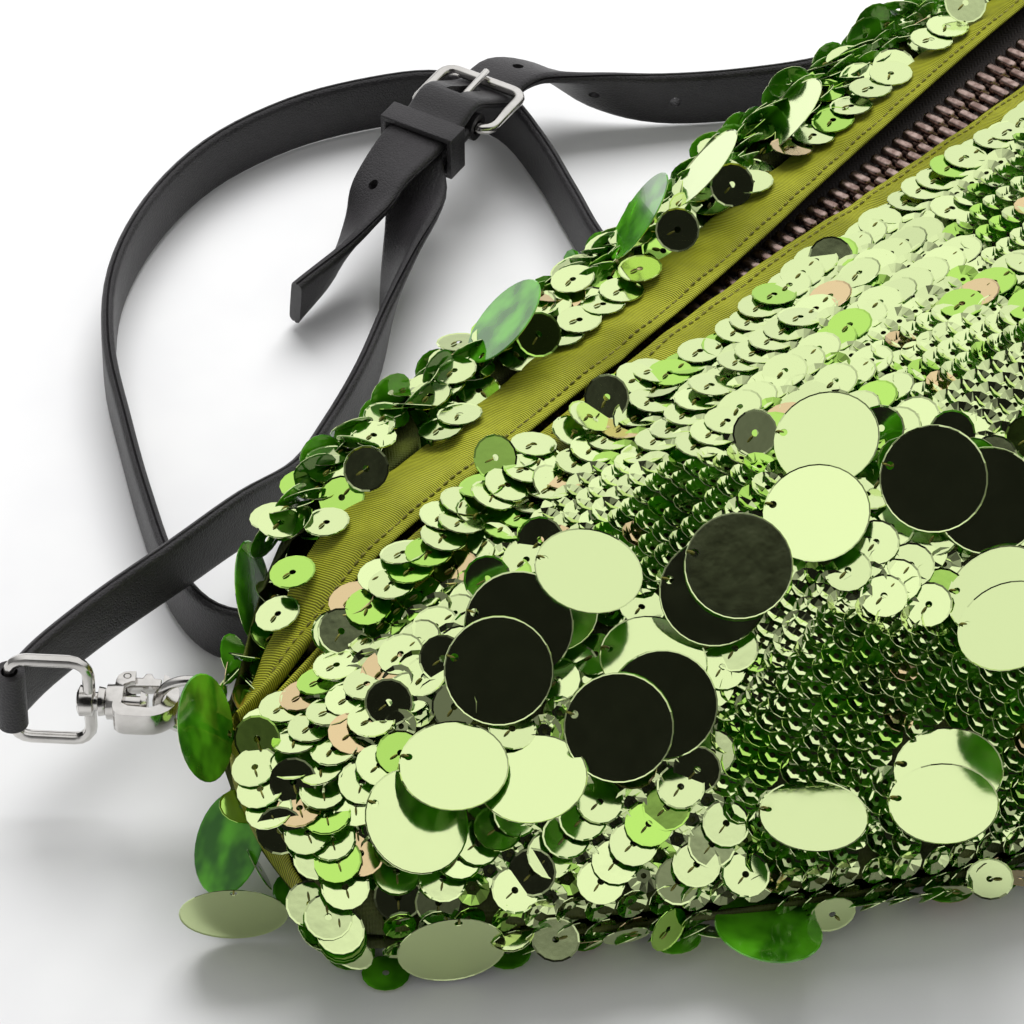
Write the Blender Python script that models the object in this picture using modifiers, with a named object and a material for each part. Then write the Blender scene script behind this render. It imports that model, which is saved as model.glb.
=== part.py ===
"""Sequinned zip-top pouch, lying on its back, with a clip-on adjustable leather strap.

The zip edge runs along X, the rounded bottom of the pouch points to -Y, and the front panel
faces up. The back panel rests on the surface at Z = 0. All sizes are in metres.
"""

import math

import bmesh
import bpy
from mathutils import Matrix, Vector

# Pouch: outline, seen from above
CORNER_X = 0.140  # zip edge, centre to corner
DEPTH = 0.138  # zip line to the bottom of the pouch
BOTTOM_RADIUS = 0.107  # rounded bottom
SHOULDER_Y = 0.051  # where the straight lower edge starts, below the zip line
TIP_REACH = 0.0135  # how far the blunt tip stands out past the zip corner
TIP_Y = 0.036  # lower end of the blunt tip, below the zip line
TIP_BOW = 0.005  # outward bow of the tip

# Pouch: thickness and cloth
SEAM_Z = 0.011  # height of the lower seam
BULGE = 0.024  # rise of the filled front panel over a flat one
PANEL_T = 0.0016  # sequinned cloth with its interlining
LINING_T = 0.0007
LINING_GAP = 0.0032
SEAM_GAP = 0.0006
CORNER_DROP = 0.015  # how far the zip band falls towards its corners

# Zip and its band
ZIP_Z = 0.035  # middle plane of the zip chain
ZIP_HALF = 0.098  # half the length of the toothed run
PITCH = 0.0032  # teeth of one side
TOOTH_T = 0.00135  # along the zip
TOOTH_REACH = 0.0009  # past the middle line, into the other side
TOOTH_ROOT = 0.0036  # from the middle line to the back of a tooth
TOOTH_H = 0.003
TAPE_T = 0.0006
TAPE_EDGE = 0.0108  # outer edge of a tape, from the middle line
STOP_LENGTH = 0.0024
BAND_FRONT = 0.0132  # middle line to the front panel's edge
BAND_BACK = 0.0145
FRONT_RISE = 0.0055  # panel edges, above the zip's middle plane
BACK_RISE = -0.0005
BAND_TAPER = 0.3  # share of the band's width left at the corners
FACING_T = 0.0009
LIP_PARTING = -0.036  # where the facing lips start to part, from the left
LIP_LEFT = 0.0010  # half the gap between the lips, left of there
LIP_RIGHT = 0.0066
FRONT_LIP_LEFT = 0.0064  # lips, above the zip's middle plane
FRONT_LIP_RIGHT = 0.0026
BACK_LIP = 0.0046
CLOSED_LIP = 0.0045
CLOSED_HALF_GAP = 0.0007  # half the gap where the lips are sewn together

# Slider and pull
SLIDER_X = ZIP_HALF - 0.0035  # at rest, at the closed end
SLIDER_LENGTH = 0.0090
SLIDER_HALF_WIDTH = 0.0048
PLATE_T = 0.0010
CHAIN_CLEARANCE = 0.00025
TAPE_SLOT = 0.0012
CROWN_R = 0.0007
CROWN_H = 0.0032
CROWN_LENGTH = 0.0060
PULL_LENGTH = 0.0240
PULL_WIDTH = 0.0050
PULL_T = 0.0012
PULL_TILT = math.radians(12)

STRAP_WIDTH = 0.012
STRAP_T = 0.0024

# Clip: ring, hook and swivel, along the clip's own axis from the pouch outwards
CLIP_X = CORNER_X - 0.0065
CLIP_STAND = 0.0028  # clip axis, behind the back panel's edge
CLIP_Z = ZIP_Z + BACK_RISE - CORNER_DROP + 0.0025
CLIP_TURN = math.radians(126)  # direction of the left clip, from +X
RING_BAR = 0.0045
RING_REACH = 0.0124
RING_HALF = 0.0058
RING_R = 0.0010
TAB_WIDTH = 0.0080
TAB_T = 0.0008
TAB_START = 0.0011
HOOK_START = 0.0085
HOOK_END = 0.0208
HOOK_HALF = 0.0054
HOOK_T = 0.0044
HOOK_WALL = 0.0022
HOOK_MOUTH_END = 0.0170
GATE_PIVOT = Vector((0.0178, 0.0, 0.0042))
GATE_T = 0.0020
GATE_WALL = 0.0019
PIN_R = 0.00055
RUNNING = 0.00015  # clearance of small turning pieces
POST_R = 0.0012
EYE_START = 0.0238
EYE_END = 0.0371
EYE_HALF = STRAP_WIDTH / 2 + 0.0029
EYE_R = 0.0011

# Strap
FOLD_CLEARANCE = 0.00035
BUCKLE_CENTRE = Vector((0.0240, 0.0880, STRAP_WIDTH + 0.0045))
BUCKLE_TURN = math.radians(9)
BUCKLE_HALF_LENGTH = 0.0065
BUCKLE_HALF_WIDTH = STRAP_WIDTH / 2 + 0.0025
BUCKLE_R = 0.0011
PRONG_WIDTH = 0.0018
PRONG_SLOT = 0.0032
KEEPER_LENGTH = 0.0050
KEEPER_T = 0.0011
KEEPER_AT = -0.0165
PUNCH_R = 0.0011
PUNCH_PITCH = 0.0165
PUNCHED = (-2, -1, 1, 2, 3)  # holes of the long strap, counted from the one in use

COLUMNS = 14
FRONT_ROWS = 6
GAP = 0.0003


# Scene set-up
for old in list(bpy.data.objects):
    bpy.data.objects.remove(old, do_unlink=True)

parts = bpy.data.collections.new("sequinned_pouch")
cutters = bpy.data.collections.new("cutters")
bpy.context.scene.collection.children.link(parts)
bpy.context.scene.collection.children.link(cutters)


def material(name, colour, roughness, metallic=0.0):
    made = bpy.data.materials.new(name)
    made.use_nodes = True
    shader = made.node_tree.nodes["Principled BSDF"]
    shader.inputs["Base Color"].default_value = (*colour, 1.0)
    shader.inputs["Roughness"].default_value = roughness
    shader.inputs["Metallic"].default_value = metallic
    made.diffuse_color = (*colour, 1.0)
    return made


SEQUINS = material("green_sequins", (0.42, 0.66, 0.16), 0.2, 0.6)
LINING = material("dark_lining", (0.05, 0.05, 0.02), 0.8)
FAILLE = material("olive_faille", (0.30, 0.27, 0.05), 0.6)
TAPE = material("zip_chain_brown", (0.12, 0.08, 0.07), 0.45, 0.7)
GUNMETAL = material("antique_metal", (0.20, 0.16, 0.15), 0.35, 1.0)
NICKEL = material("polished_nickel", (0.80, 0.79, 0.76), 0.12, 1.0)
LEATHER = material("black_leather", (0.02, 0.02, 0.022), 0.5)


# Object helpers
def smoothstep(value):
    value = min(max(value, 0.0), 1.0)
    return value * value * (3.0 - 2.0 * value)


def mix(a, b, share):
    return a + (b - a) * share


def add_object(name, data, finish, parent=None, location=(0, 0, 0)):
    made = bpy.data.objects.new(name, data)
    parts.objects.link(made)
    if finish:
        data.materials.clear()
        data.materials.append(finish)
    made.parent = parent
    made.location = location
    return made


def mesh_object(name, bm, finish, parent=None, location=(0, 0, 0)):
    bmesh.ops.recalc_face_normals(bm, faces=bm.faces)
    mesh = bpy.data.meshes.new(name)
    bm.to_mesh(mesh)
    bm.free()
    return add_object(name, mesh, finish, parent, location)


def smooth(made, angle=math.radians(35)):
    made.data.shade_smooth()
    made.data.set_sharp_from_angle(angle=angle)
    return made


def as_tool(made):
    parts.objects.unlink(made)
    cutters.objects.link(made)
    made.hide_render = True
    made.display_type = "WIRE"
    return made


def boolean(target, tool, operation):
    step = target.modifiers.new(operation.lower() + "_" + tool.name, "BOOLEAN")
    step.operation = operation
    step.solver = "EXACT"
    step.object = as_tool(tool)
    return target


def curve_to_mesh(made):
    """The curve's solid as a mesh object of the same name, with its caps welded."""
    bpy.context.view_layer.update()
    graph = bpy.context.evaluated_depsgraph_get()
    mesh = bpy.data.meshes.new_from_object(made.evaluated_get(graph))
    bm = bmesh.new()
    bm.from_mesh(mesh)
    bmesh.ops.remove_doubles(bm, verts=bm.verts, dist=0.000005)
    bmesh.ops.recalc_face_normals(bm, faces=bm.faces)
    bm.to_mesh(mesh)
    bm.free()
    name, place, parent = made.name, made.location.copy(), made.parent
    finish = made.data.materials[0] if made.data.materials else None
    bpy.data.objects.remove(made, do_unlink=True)
    mesh.name = name
    return add_object(name, mesh, finish, parent, place)


def add_box(bm, low, high):
    low, high = Vector(low), Vector(high)
    size = high - low
    place = Matrix.Translation((low + high) / 2) @ Matrix.Diagonal((*size, 1.0))
    bmesh.ops.create_cube(bm, size=1.0, matrix=place)


def box(name, low, high, finish, parent=None, location=(0, 0, 0)):
    bm = bmesh.new()
    add_box(bm, low, high)
    return mesh_object(name, bm, finish, parent, location)


def cylinder(name, start, end, radius, finish, parent=None, location=(0, 0, 0), sides=16):
    start, end = Vector(start), Vector(end)
    along = end - start
    turn = along.to_track_quat("Z", "Y").to_matrix().to_4x4()
    bm = bmesh.new()
    bmesh.ops.create_cone(
        bm, cap_ends=True, segments=sides, radius1=radius, radius2=radius, depth=along.length,
        matrix=Matrix.Translation((start + end) / 2) @ turn,
    )
    return mesh_object(name, bm, finish, parent, location)


def wire(name, points, radius, finish, cyclic=False, parent=None, location=(0, 0, 0)):
    """A round rod along points, with flat caps."""
    curve = bpy.data.curves.new(name, "CURVE")
    curve.dimensions = "3D"
    curve.bevel_depth = radius
    curve.bevel_resolution = 2
    curve.use_fill_caps = True
    spline = curve.splines.new("POLY")
    spline.points.add(len(points) - 1)
    for point, place in zip(spline.points, points):
        point.co = (*place, 1.0)
    spline.use_cyclic_u = cyclic
    return curve_to_mesh(add_object(name, curve, finish, parent, location))


def plate(name, outlines, thickness, finish, parent=None, location=(0, 0, 0)):
    """A flat plate from closed 2D outlines, the second and later ones being holes."""
    curve = bpy.data.curves.new(name, "CURVE")
    curve.dimensions = "2D"
    curve.fill_mode = "BOTH"
    curve.extrude = thickness / 2
    for outline in outlines:
        spline = curve.splines.new("POLY")
        spline.points.add(len(outline) - 1)
        for point, (x, y) in zip(spline.points, outline):
            point.co = (x, y, 0.0, 1.0)
        spline.use_cyclic_u = True
    return curve_to_mesh(add_object(name, curve, finish, parent, location))


def arc(centre, radius, start, end, steps):
    """Points on a circle, with start and end in degrees."""
    found = []
    for step in range(steps + 1):
        angle = math.radians(mix(start, end, step / steps))
        found.append((centre[0] + radius * math.cos(angle), centre[1] + radius * math.sin(angle)))
    return found


def round_box(low, high, radius, steps=4):
    """A rectangle with round corners, as 2D points."""
    (x0, y0), (x1, y1) = low, high
    return (
        arc((x1 - radius, y1 - radius), radius, 0, 90, steps)
        + arc((x0 + radius, y1 - radius), radius, 90, 180, steps)
        + arc((x0 + radius, y0 + radius), radius, 180, 270, steps)
        + arc((x1 - radius, y0 + radius), radius, 270, 360, steps)
    )


def turned(name, profile, finish, parent=None, location=(0, 0, 0), steps=12):
    """A solid of revolution about X from (x, radius) points that start and end on the axis."""
    bm = bmesh.new()
    rows = [bm.verts.new((x, 0.0, radius)) for x, radius in profile]
    edges = [bm.edges.new(pair) for pair in zip(rows, rows[1:])]
    bmesh.ops.spin(
        bm, geom=rows + edges, cent=(0, 0, 0), axis=(1, 0, 0), angle=math.tau, steps=steps,
        use_merge=True,
    )
    bmesh.ops.remove_doubles(bm, verts=bm.verts, dist=0.000005)
    return mesh_object(name, bm, finish, parent, location)


def sheet(name, points, thickness, side, levels, finish):
    """A cloth shell from rows of points, thickened towards side (1 out, -1 in)."""
    rows, columns = len(points), len(points[0])
    bm = bmesh.new()
    bmesh.ops.create_grid(bm, x_segments=columns - 1, y_segments=rows - 1, size=1.0)
    for vert in bm.verts:
        column = round((vert.co.x + 1.0) / 2.0 * (columns - 1))
        row = round((vert.co.y + 1.0) / 2.0 * (rows - 1))
        vert.co = points[row][column]
    mesh = bpy.data.meshes.new(name)
    bm.normal_update()
    bm.to_mesh(mesh)
    bm.free()
    made = add_object(name, mesh, finish)
    if levels:
        soft = made.modifiers.new("soft_form", "SUBSURF")
        soft.levels = levels
        soft.render_levels = levels
        soft.boundary_smooth = "PRESERVE_CORNERS"
    wall = made.modifiers.new("cloth", "SOLIDIFY")
    wall.thickness = thickness
    wall.offset = side
    return smooth(made, math.radians(60))


# Pouch surfaces
def end_share(x):
    """0 along the zip, 1 at a corner of the zip edge."""
    return smoothstep((abs(x) - ZIP_HALF) / (CORNER_X - ZIP_HALF))


def column_x(column):
    return mix(-CORNER_X, CORNER_X, column / COLUMNS)


def front_edge(x):
    width = BAND_FRONT * mix(1.0, BAND_TAPER, end_share(x))
    return Vector((x, -width, ZIP_Z + FRONT_RISE - CORNER_DROP * end_share(x)))


def back_edge(x):
    width = BAND_BACK * mix(1.0, BAND_TAPER, end_share(x))
    return Vector((x, width, ZIP_Z + BACK_RISE - CORNER_DROP * end_share(x)))


def seam_plan(column):
    """The lower seam: a blunt tip, a straight lower edge and a round bottom, mirrored."""
    if column > COLUMNS / 2:
        x, y = seam_plan(COLUMNS - column)
        return -x, y
    if column == 0:
        return -(CORNER_X + TIP_REACH), -TIP_Y
    start = Vector((-CORNER_X, -SHOULDER_Y))
    centre = Vector((0.0, BOTTOM_RADIUS - DEPTH))
    reach = centre - start
    slope = math.asin(BOTTOM_RADIUS / reach.length) - math.atan2(reach.y, reach.x)
    straight = math.sqrt(reach.length_squared - BOTTOM_RADIUS**2)
    run = (straight + BOTTOM_RADIUS * slope) * (column - 1) / (COLUMNS / 2 - 1)
    if run <= straight:
        return start.x + run * math.cos(slope), start.y - run * math.sin(slope)
    angle = slope - (run - straight) / BOTTOM_RADIUS
    return centre.x - BOTTOM_RADIUS * math.sin(angle), centre.y - BOTTOM_RADIUS * math.cos(angle)


def from_end(column):
    return min(column, COLUMNS - column)


def tip_bow(column, share):
    fade = (1.0, 0.4, 0.1)
    if from_end(column) >= len(fade):
        return 0.0
    outward = -1.0 if column < COLUMNS / 2 else 1.0
    return outward * TIP_BOW * fade[from_end(column)] * 4.0 * share * (1.0 - share)


def front_point(column, share):
    """Front panel, from the lower seam (share 0) to the zip band (share 1)."""
    x, y = seam_plan(column)
    low = Vector((x, y, SEAM_Z + SEAM_GAP))
    high = front_edge(column_x(column))
    point = low.lerp(high, share)
    fill = ((high - low).to_2d().length / (DEPTH - BAND_FRONT)) ** 1.1
    fill *= 0.5 if from_end(column) == 0 else 1.0
    point.z += BULGE * fill * math.sin(math.pi * share) ** 0.9
    point.x += tip_bow(column, share)
    return point


# Share of the way from seam to zip edge, and share of the height there, along the back panel.
BACK_PROFILE = (
    (0.0, None), (0.05, 0.30), (0.14, 0.0), (0.34, 0.0), (0.58, 0.0), (0.80, 0.0),
    (0.96, 0.10), (1.03, 0.48), (1.0, 1.0),
)
END_LIFT = (1.0, 0.45, 0.12)


def back_point(column, row, most=2.0):
    """Back panel, from the lower seam (row 0) under the pouch and up to the zip band."""
    share, height = BACK_PROFILE[row]
    share = min(share, most)
    x, y = seam_plan(column)
    low = Vector((x, y, SEAM_Z - SEAM_GAP))
    high = back_edge(column_x(column))
    point = low.lerp(high, share)
    if height is not None and row < len(BACK_PROFILE) - 1:
        reach = low.z if row == 1 else high.z
        flat = PANEL_T + height * (reach - PANEL_T)
        lift = END_LIFT[from_end(column)] if from_end(column) < len(END_LIFT) else 0.0
        point.z = mix(flat, point.z, lift)
    point.x += tip_bow(column, min(share, 1.0))
    return point


def build_panels():
    front = [
        [front_point(column, row / FRONT_ROWS) for column in range(COLUMNS + 1)]
        for row in range(FRONT_ROWS + 1)
    ]
    sheet("front_panel", front, PANEL_T, 1.0, 1, SEQUINS)
    back = [
        [back_point(column, row) for column in reversed(range(COLUMNS + 1))]
        for row in range(len(BACK_PROFILE))
    ]
    sheet("back_panel", back, PANEL_T, 1.0, 1, SEQUINS)


def build_lining():
    """One inner bag, open along the zip, held a little way inside both panels."""
    columns = range(2, COLUMNS - 1)
    rows = [[back_point(c, r, 0.985) for c in columns] for r in reversed(range(2, len(BACK_PROFILE)))]
    rows += [[front_point(c, r / FRONT_ROWS) for c in columns] for r in range(1, FRONT_ROWS + 1)]
    made = sheet("lining", rows, LINING_T, -1.0, 0, LINING)
    inset = made.modifiers.new("inset", "DISPLACE")
    inset.strength = -LINING_GAP
    inset.mid_level = 0.0
    made.modifiers.move(1, 0)


def build_gusset(name, column):
    """Olive strip that closes the blunt tip between the two panels."""
    steps = 6
    rows = []
    for step in range(steps + 1):
        share = mix(0.10, 0.97, step / steps)
        ahead = front_point(column, share)
        x, y = seam_plan(column)
        low = Vector((x, y, SEAM_Z - SEAM_GAP))
        behind = low.lerp(back_edge(column_x(column)), share)
        behind.x += tip_bow(column, share)
        inset = min(0.45, 0.0009 / (ahead - behind).length)
        rows.append([ahead.lerp(behind, mix(inset, 1.0 - inset, k / 2)) for k in range(3)])
    if column:
        rows = [list(reversed(row)) for row in rows]
    sheet(name, rows, FACING_T, 0.0, 0, FAILLE)


# Zip band
def lip_share(x):
    return smoothstep((x - LIP_PARTING) / (ZIP_HALF - LIP_PARTING))


def closed_share(x):
    return smoothstep((abs(x) - ZIP_HALF - 0.004) / 0.010)


def front_facing_section(x):
    """Folded strip: panel edge, over to the lip, and back under to the tape."""
    drop = CORNER_DROP * end_share(x)
    closed = closed_share(x)
    edge = front_edge(x)
    lip_y = -mix(mix(LIP_LEFT, LIP_RIGHT, lip_share(x)), CLOSED_HALF_GAP, closed)
    lip_z = ZIP_Z + mix(mix(FRONT_LIP_LEFT, FRONT_LIP_RIGHT, lip_share(x)), CLOSED_LIP, closed) - drop
    outer = Vector((x, edge.y + 0.0008, edge.z + 0.0016))
    lip = Vector((x, lip_y, lip_z))
    crest = outer.lerp(lip, 0.55) + Vector((0, 0, 0.0010))
    under = Vector((x, mix(lip_y - 0.0030, -0.0020, closed), mix(lip_z, ZIP_Z + 0.0008, 0.62)))
    foot_z = mix(ZIP_Z + TAPE_T / 2 + FACING_T / 2 + GAP, lip_z - 0.0035, closed)
    foot = Vector((x, mix(-0.0098, edge.y * 0.75, closed), foot_z))
    return [outer, crest, lip, under, foot]


def back_facing_section(x):
    drop = CORNER_DROP * end_share(x)
    closed = closed_share(x)
    edge = back_edge(x)
    lip_y = mix(mix(LIP_LEFT, LIP_RIGHT, lip_share(x)), CLOSED_HALF_GAP, closed)
    lip_z = ZIP_Z + mix(BACK_LIP, CLOSED_LIP, closed) - drop
    outer = Vector((x, edge.y + 0.0009, edge.z + 0.0018))
    lip = Vector((x, lip_y, lip_z))
    crest = outer.lerp(lip, 0.55) + Vector((0, 0, 0.0008))
    under = Vector((x, mix(lip_y + 0.0030, 0.0020, closed), mix(lip_z, ZIP_Z + 0.0008, 0.55)))
    foot_z = mix(ZIP_Z + TAPE_T / 2 + FACING_T / 2 + GAP, lip_z - 0.0035, closed)
    foot = Vector((x, mix(0.0098, edge.y * 0.75, closed), foot_z))
    return [outer, crest, lip, under, foot]


def build_facings():
    steps = 32
    reach = CORNER_X - 0.0010
    stations = [mix(-reach, reach, step / steps) for step in range(steps + 1)]
    ahead = [list(section) for section in zip(*[front_facing_section(x) for x in stations])]
    sheet("front_facing", ahead, FACING_T, 0.0, 0, FAILLE)
    behind = [list(section) for section in zip(*[back_facing_section(x) for x in stations])]
    sheet("back_facing", [list(reversed(row)) for row in behind], FACING_T, 0.0, 0, FAILLE)


def build_chain(name, side, offset):
    """One half of the zip: woven tape, its corded edge, and the teeth clamped on it."""
    reach = ZIP_HALF + STOP_LENGTH * 2.2
    bm = bmesh.new()
    inner, outer = sorted((side * 0.0020, side * TAPE_EDGE))
    add_box(bm, (-reach, inner, -TAPE_T / 2), (reach, outer, TAPE_T / 2))
    tape = mesh_object(name, bm, TAPE, location=(0, 0, ZIP_Z))
    teeth = bmesh.new()
    count = int((SLIDER_X + ZIP_HALF - 0.001) / PITCH)
    for index in range(count):
        x = -ZIP_HALF + TOOTH_T + offset + index * PITCH
        inner, outer = sorted((-side * TOOTH_REACH, side * TOOTH_ROOT))
        add_box(
            teeth, (x - TOOTH_T / 2, inner, -TOOTH_H / 2), (x + TOOTH_T / 2, outer, TOOTH_H / 2)
        )
    row = mesh_object(name + "_teeth", teeth, TAPE, location=(0, 0, ZIP_Z))
    boolean(tape, row, "UNION")


def build_stops():
    """Metal stops clamped on the tape edges, with a slot for each tape."""
    half, reach = STOP_LENGTH / 2, TOOTH_ROOT + 0.0002
    slot = TAPE_T / 2 + GAP
    bottom_x = -ZIP_HALF - STOP_LENGTH * 1.1
    bottom = box(
        "bottom_stop", (-half, -reach, -TOOTH_H / 2), (half, reach, TOOTH_H / 2), GUNMETAL,
        location=(bottom_x, 0, ZIP_Z),
    )
    for side in (-1, 1):
        low, high = sorted((side * (0.0020 - GAP), side * (reach + 0.001)))
        cutter = box(
            f"bottom_stop_slot_{side}", (-half - 0.001, low, -slot), (half + 0.001, high, slot),
            None, location=(bottom_x, 0, ZIP_Z),
        )
        boolean(bottom, cutter, "DIFFERENCE")
    top_x = ZIP_HALF + STOP_LENGTH * 1.4
    for name, side in (("front_top_stop", -1), ("back_top_stop", 1)):
        low, high = sorted((side * 0.0010, side * reach))
        stop = box(
            name, (-half, low, -TOOTH_H / 2), (half, high, TOOTH_H / 2), GUNMETAL,
            location=(top_x, 0, ZIP_Z),
        )
        low, high = sorted((side * (0.0020 - GAP), side * (reach + 0.001)))
        cutter = box(
            name + "_slot", (-half - 0.001, low, -slot), (half + 0.001, high, slot), None,
            location=(top_x, 0, ZIP_Z),
        )
        boolean(stop, cutter, "DIFFERENCE")


def build_slider():
    """Two plates joined by a wedge, with side flanges, and a crown that holds the pull."""
    place = (SLIDER_X, 0, ZIP_Z)
    half, wide = SLIDER_LENGTH / 2, SLIDER_HALF_WIDTH
    inside = TOOTH_H / 2 + CHAIN_CLEARANCE
    outside = inside + PLATE_T
    outline = [
        (-half, -wide * 0.62), (-half + 0.0012, -wide * 0.86), (half * 0.35, -wide),
        (half - 0.0012, -wide), (half, -wide * 0.70), (half, wide * 0.70), (half - 0.0012, wide),
        (half * 0.35, wide), (-half + 0.0012, wide * 0.86), (-half, wide * 0.62),
    ]
    slider = plate("zip_slider", [outline], PLATE_T, GUNMETAL, location=place)
    for vert in slider.data.vertices:
        vert.co.z += (inside + outside) / 2
    lower = plate("zip_slider_lower", [outline], PLATE_T, GUNMETAL, location=place)
    for vert in lower.data.vertices:
        vert.co.z -= (inside + outside) / 2
    boolean(slider, lower, "UNION")
    lap = PLATE_T / 2
    wedge = cylinder(
        "zip_slider_wedge", (half - 0.0016, 0, -inside - lap), (half - 0.0016, 0, inside + lap),
        0.0013, GUNMETAL, location=place, sides=8,
    )
    boolean(slider, wedge, "UNION")
    for side in (-1, 1):
        for level in (-1, 1):
            low, high = sorted((side * (TOOTH_ROOT + GAP), side * (wide - 0.0007)))
            bottom, top = sorted((level * TAPE_SLOT / 2, level * (inside + lap)))
            flange = box(
                f"zip_slider_flange_{side}_{level}", (-half + 0.0006, low, bottom),
                (half - 0.0030, high, top), GUNMETAL, location=place,
            )
            boolean(slider, flange, "UNION")
    rise = [
        (-CROWN_LENGTH / 2, 0, outside - lap), (-CROWN_LENGTH / 2, 0, outside + CROWN_H * 0.55),
        (-CROWN_LENGTH * 0.30, 0, outside + CROWN_H - CROWN_R),
        (CROWN_LENGTH * 0.30, 0, outside + CROWN_H - CROWN_R),
        (CROWN_LENGTH / 2, 0, outside + CROWN_H * 0.55), (CROWN_LENGTH / 2, 0, outside - lap),
    ]
    boolean(slider, wire("zip_slider_crown", rise, CROWN_R, GUNMETAL, location=place), "UNION")
    return outside


def build_pull(outside):
    """Slim tab whose end bar sits under the crown."""
    bar_r = 0.0006
    axis = Vector((SLIDER_X, 0, ZIP_Z + outside + 0.0003 + bar_r))
    arm = 0.0056
    wide = PULL_WIDTH / 2
    outline = round_box((-bar_r, -wide), (PULL_LENGTH, wide), 0.0006, 2)
    hole = round_box((bar_r, -wide + 0.0011), (arm, wide - 0.0011), 0.0004, 2)
    pull = plate("zip_pull", [outline, hole], PULL_T, NICKEL, location=axis)
    pull.rotation_euler = (0, -PULL_TILT, 0)
    return axis


# Clips: fabric tab, ring, hook, gate and swivel eye
def clip_y():
    return back_edge(CLIP_X).y + CLIP_STAND


def clip_frame(name, side):
    """An empty at the tip of the pouch: X along the clip, Y up the ring's bar, Z across."""
    along = Vector((side * -math.cos(CLIP_TURN), math.sin(CLIP_TURN), 0.0))
    up = Vector((0.0, 0.0, 1.0))
    across = along.cross(up)
    turn = Matrix((along, up, across)).transposed().to_4x4()
    empty = bpy.data.objects.new(name, None)
    parts.objects.link(empty)
    empty.matrix_world = Matrix.Translation((side * CLIP_X, clip_y(), CLIP_Z)) @ turn
    return empty


def build_ring(side_name, frame):
    half = TAB_WIDTH / 2
    sleeve_r = RING_R + FOLD_CLEARANCE + TAB_T
    tab = cylinder(
        side_name + "_tab", (RING_BAR, -half, 0), (RING_BAR, half, 0), sleeve_r, FAILLE, frame
    )
    tail = box(side_name + "_tab_tail", (TAB_START, -half, -TAB_T), (RING_BAR, half, TAB_T), FAILLE, frame)
    boolean(tab, tail, "UNION")
    bore = cylinder(
        side_name + "_tab_bore", (RING_BAR, -half - 0.002, 0), (RING_BAR, half + 0.002, 0),
        RING_R + FOLD_CLEARANCE, None, frame,
    )
    boolean(tab, bore, "DIFFERENCE")
    bow = RING_REACH - RING_BAR
    straight = bow - RING_HALF
    path = [(0, -RING_HALF, 0), (0, 0, 0), (0, RING_HALF, 0)]
    path += [(x + straight, y, 0) for x, y in arc((0, 0), RING_HALF, 90, -90, 12)]
    wire(side_name + "_ring", path, RING_R, NICKEL, True, frame, (RING_BAR, 0, 0))


def hook_outline(inset):
    """Rounded claw outline in the hook's plane, drawn in by inset."""
    half = HOOK_HALF - inset
    start = HOOK_START + inset + half
    end = HOOK_END - 0.0012 if inset == 0 else HOOK_MOUTH_END - half * 0.35
    nose = arc((start, 0), half, 90, 270, 12)
    if inset:
        return nose + arc((end, 0), half, -70, 70, 6)
    return nose + round_box((start, -half), (end, half), 0.0022, 3)[-4:] + round_box(
        (start, -half), (end, half), 0.0022, 3
    )[:4]


def build_hook(side_name, frame):
    """Cast claw with a sprung gate on a pin between two ears, free to turn on the eye's post."""
    lie_flat = (math.radians(90), 0, 0)
    hook = plate(side_name + "_hook", [hook_outline(0.0), hook_outline(HOOK_WALL)], HOOK_T, NICKEL, frame)
    hook.rotation_euler = lie_flat
    collar = cylinder(
        side_name + "_hook_collar", (HOOK_MOUTH_END + 0.001, 0, 0), (HOOK_END, 0, 0), 0.0030, NICKEL, frame
    )
    boolean(hook, collar, "UNION")
    bore = cylinder(
        side_name + "_hook_bore", (HOOK_MOUTH_END - 0.004, 0, 0), (HOOK_END + 0.002, 0, 0),
        POST_R + RUNNING, None, frame,
    )
    boolean(hook, bore, "DIFFERENCE")
    gate_tip = HOOK_START + 0.0034
    mouth = box(
        side_name + "_hook_mouth", (gate_tip - GAP, -HOOK_T, HOOK_HALF - HOOK_WALL - 0.0006),
        (GATE_PIVOT.x - 0.0014, HOOK_T, HOOK_HALF + 0.001), None, frame,
    )
    boolean(hook, mouth, "DIFFERENCE")
    ear_slot = GATE_T / 2 + RUNNING
    slot = box(
        side_name + "_hook_slot", (GATE_PIVOT.x - 0.0030, -ear_slot, GATE_PIVOT.z - 0.0018),
        (GATE_PIVOT.x + 0.0016, ear_slot, HOOK_HALF + 0.001), None, frame,
    )
    boolean(hook, slot, "DIFFERENCE")
    pin_bore = cylinder(
        side_name + "_pin_bore", GATE_PIVOT - Vector((0, HOOK_T, 0)),
        GATE_PIVOT + Vector((0, HOOK_T, 0)), PIN_R + RUNNING, None, frame, sides=12,
    )
    boolean(hook, pin_bore, "DIFFERENCE")
    cylinder(
        side_name + "_gate_pin", (0, -HOOK_T / 2, 0), (0, HOOK_T / 2, 0), PIN_R, NICKEL, frame,
        GATE_PIVOT, sides=12,
    )
    length = GATE_PIVOT.x - gate_tip
    wall = GATE_WALL / 2
    outline = arc((0, 0), 0.0012, -90, 90, 6) + [
        (-length * 0.42, wall), (-length * 0.50, wall + 0.0011), (-length * 0.66, wall + 0.0011),
        (-length * 0.76, wall), (-length + 0.0002, wall * 0.9), (-length + 0.0002, -wall * 0.9),
    ]
    gate = plate(
        side_name + "_gate", [outline, arc((0, 0), PIN_R + RUNNING, 0, 330, 11)], GATE_T, NICKEL,
        frame, GATE_PIVOT,
    )
    gate.rotation_euler = lie_flat


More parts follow.
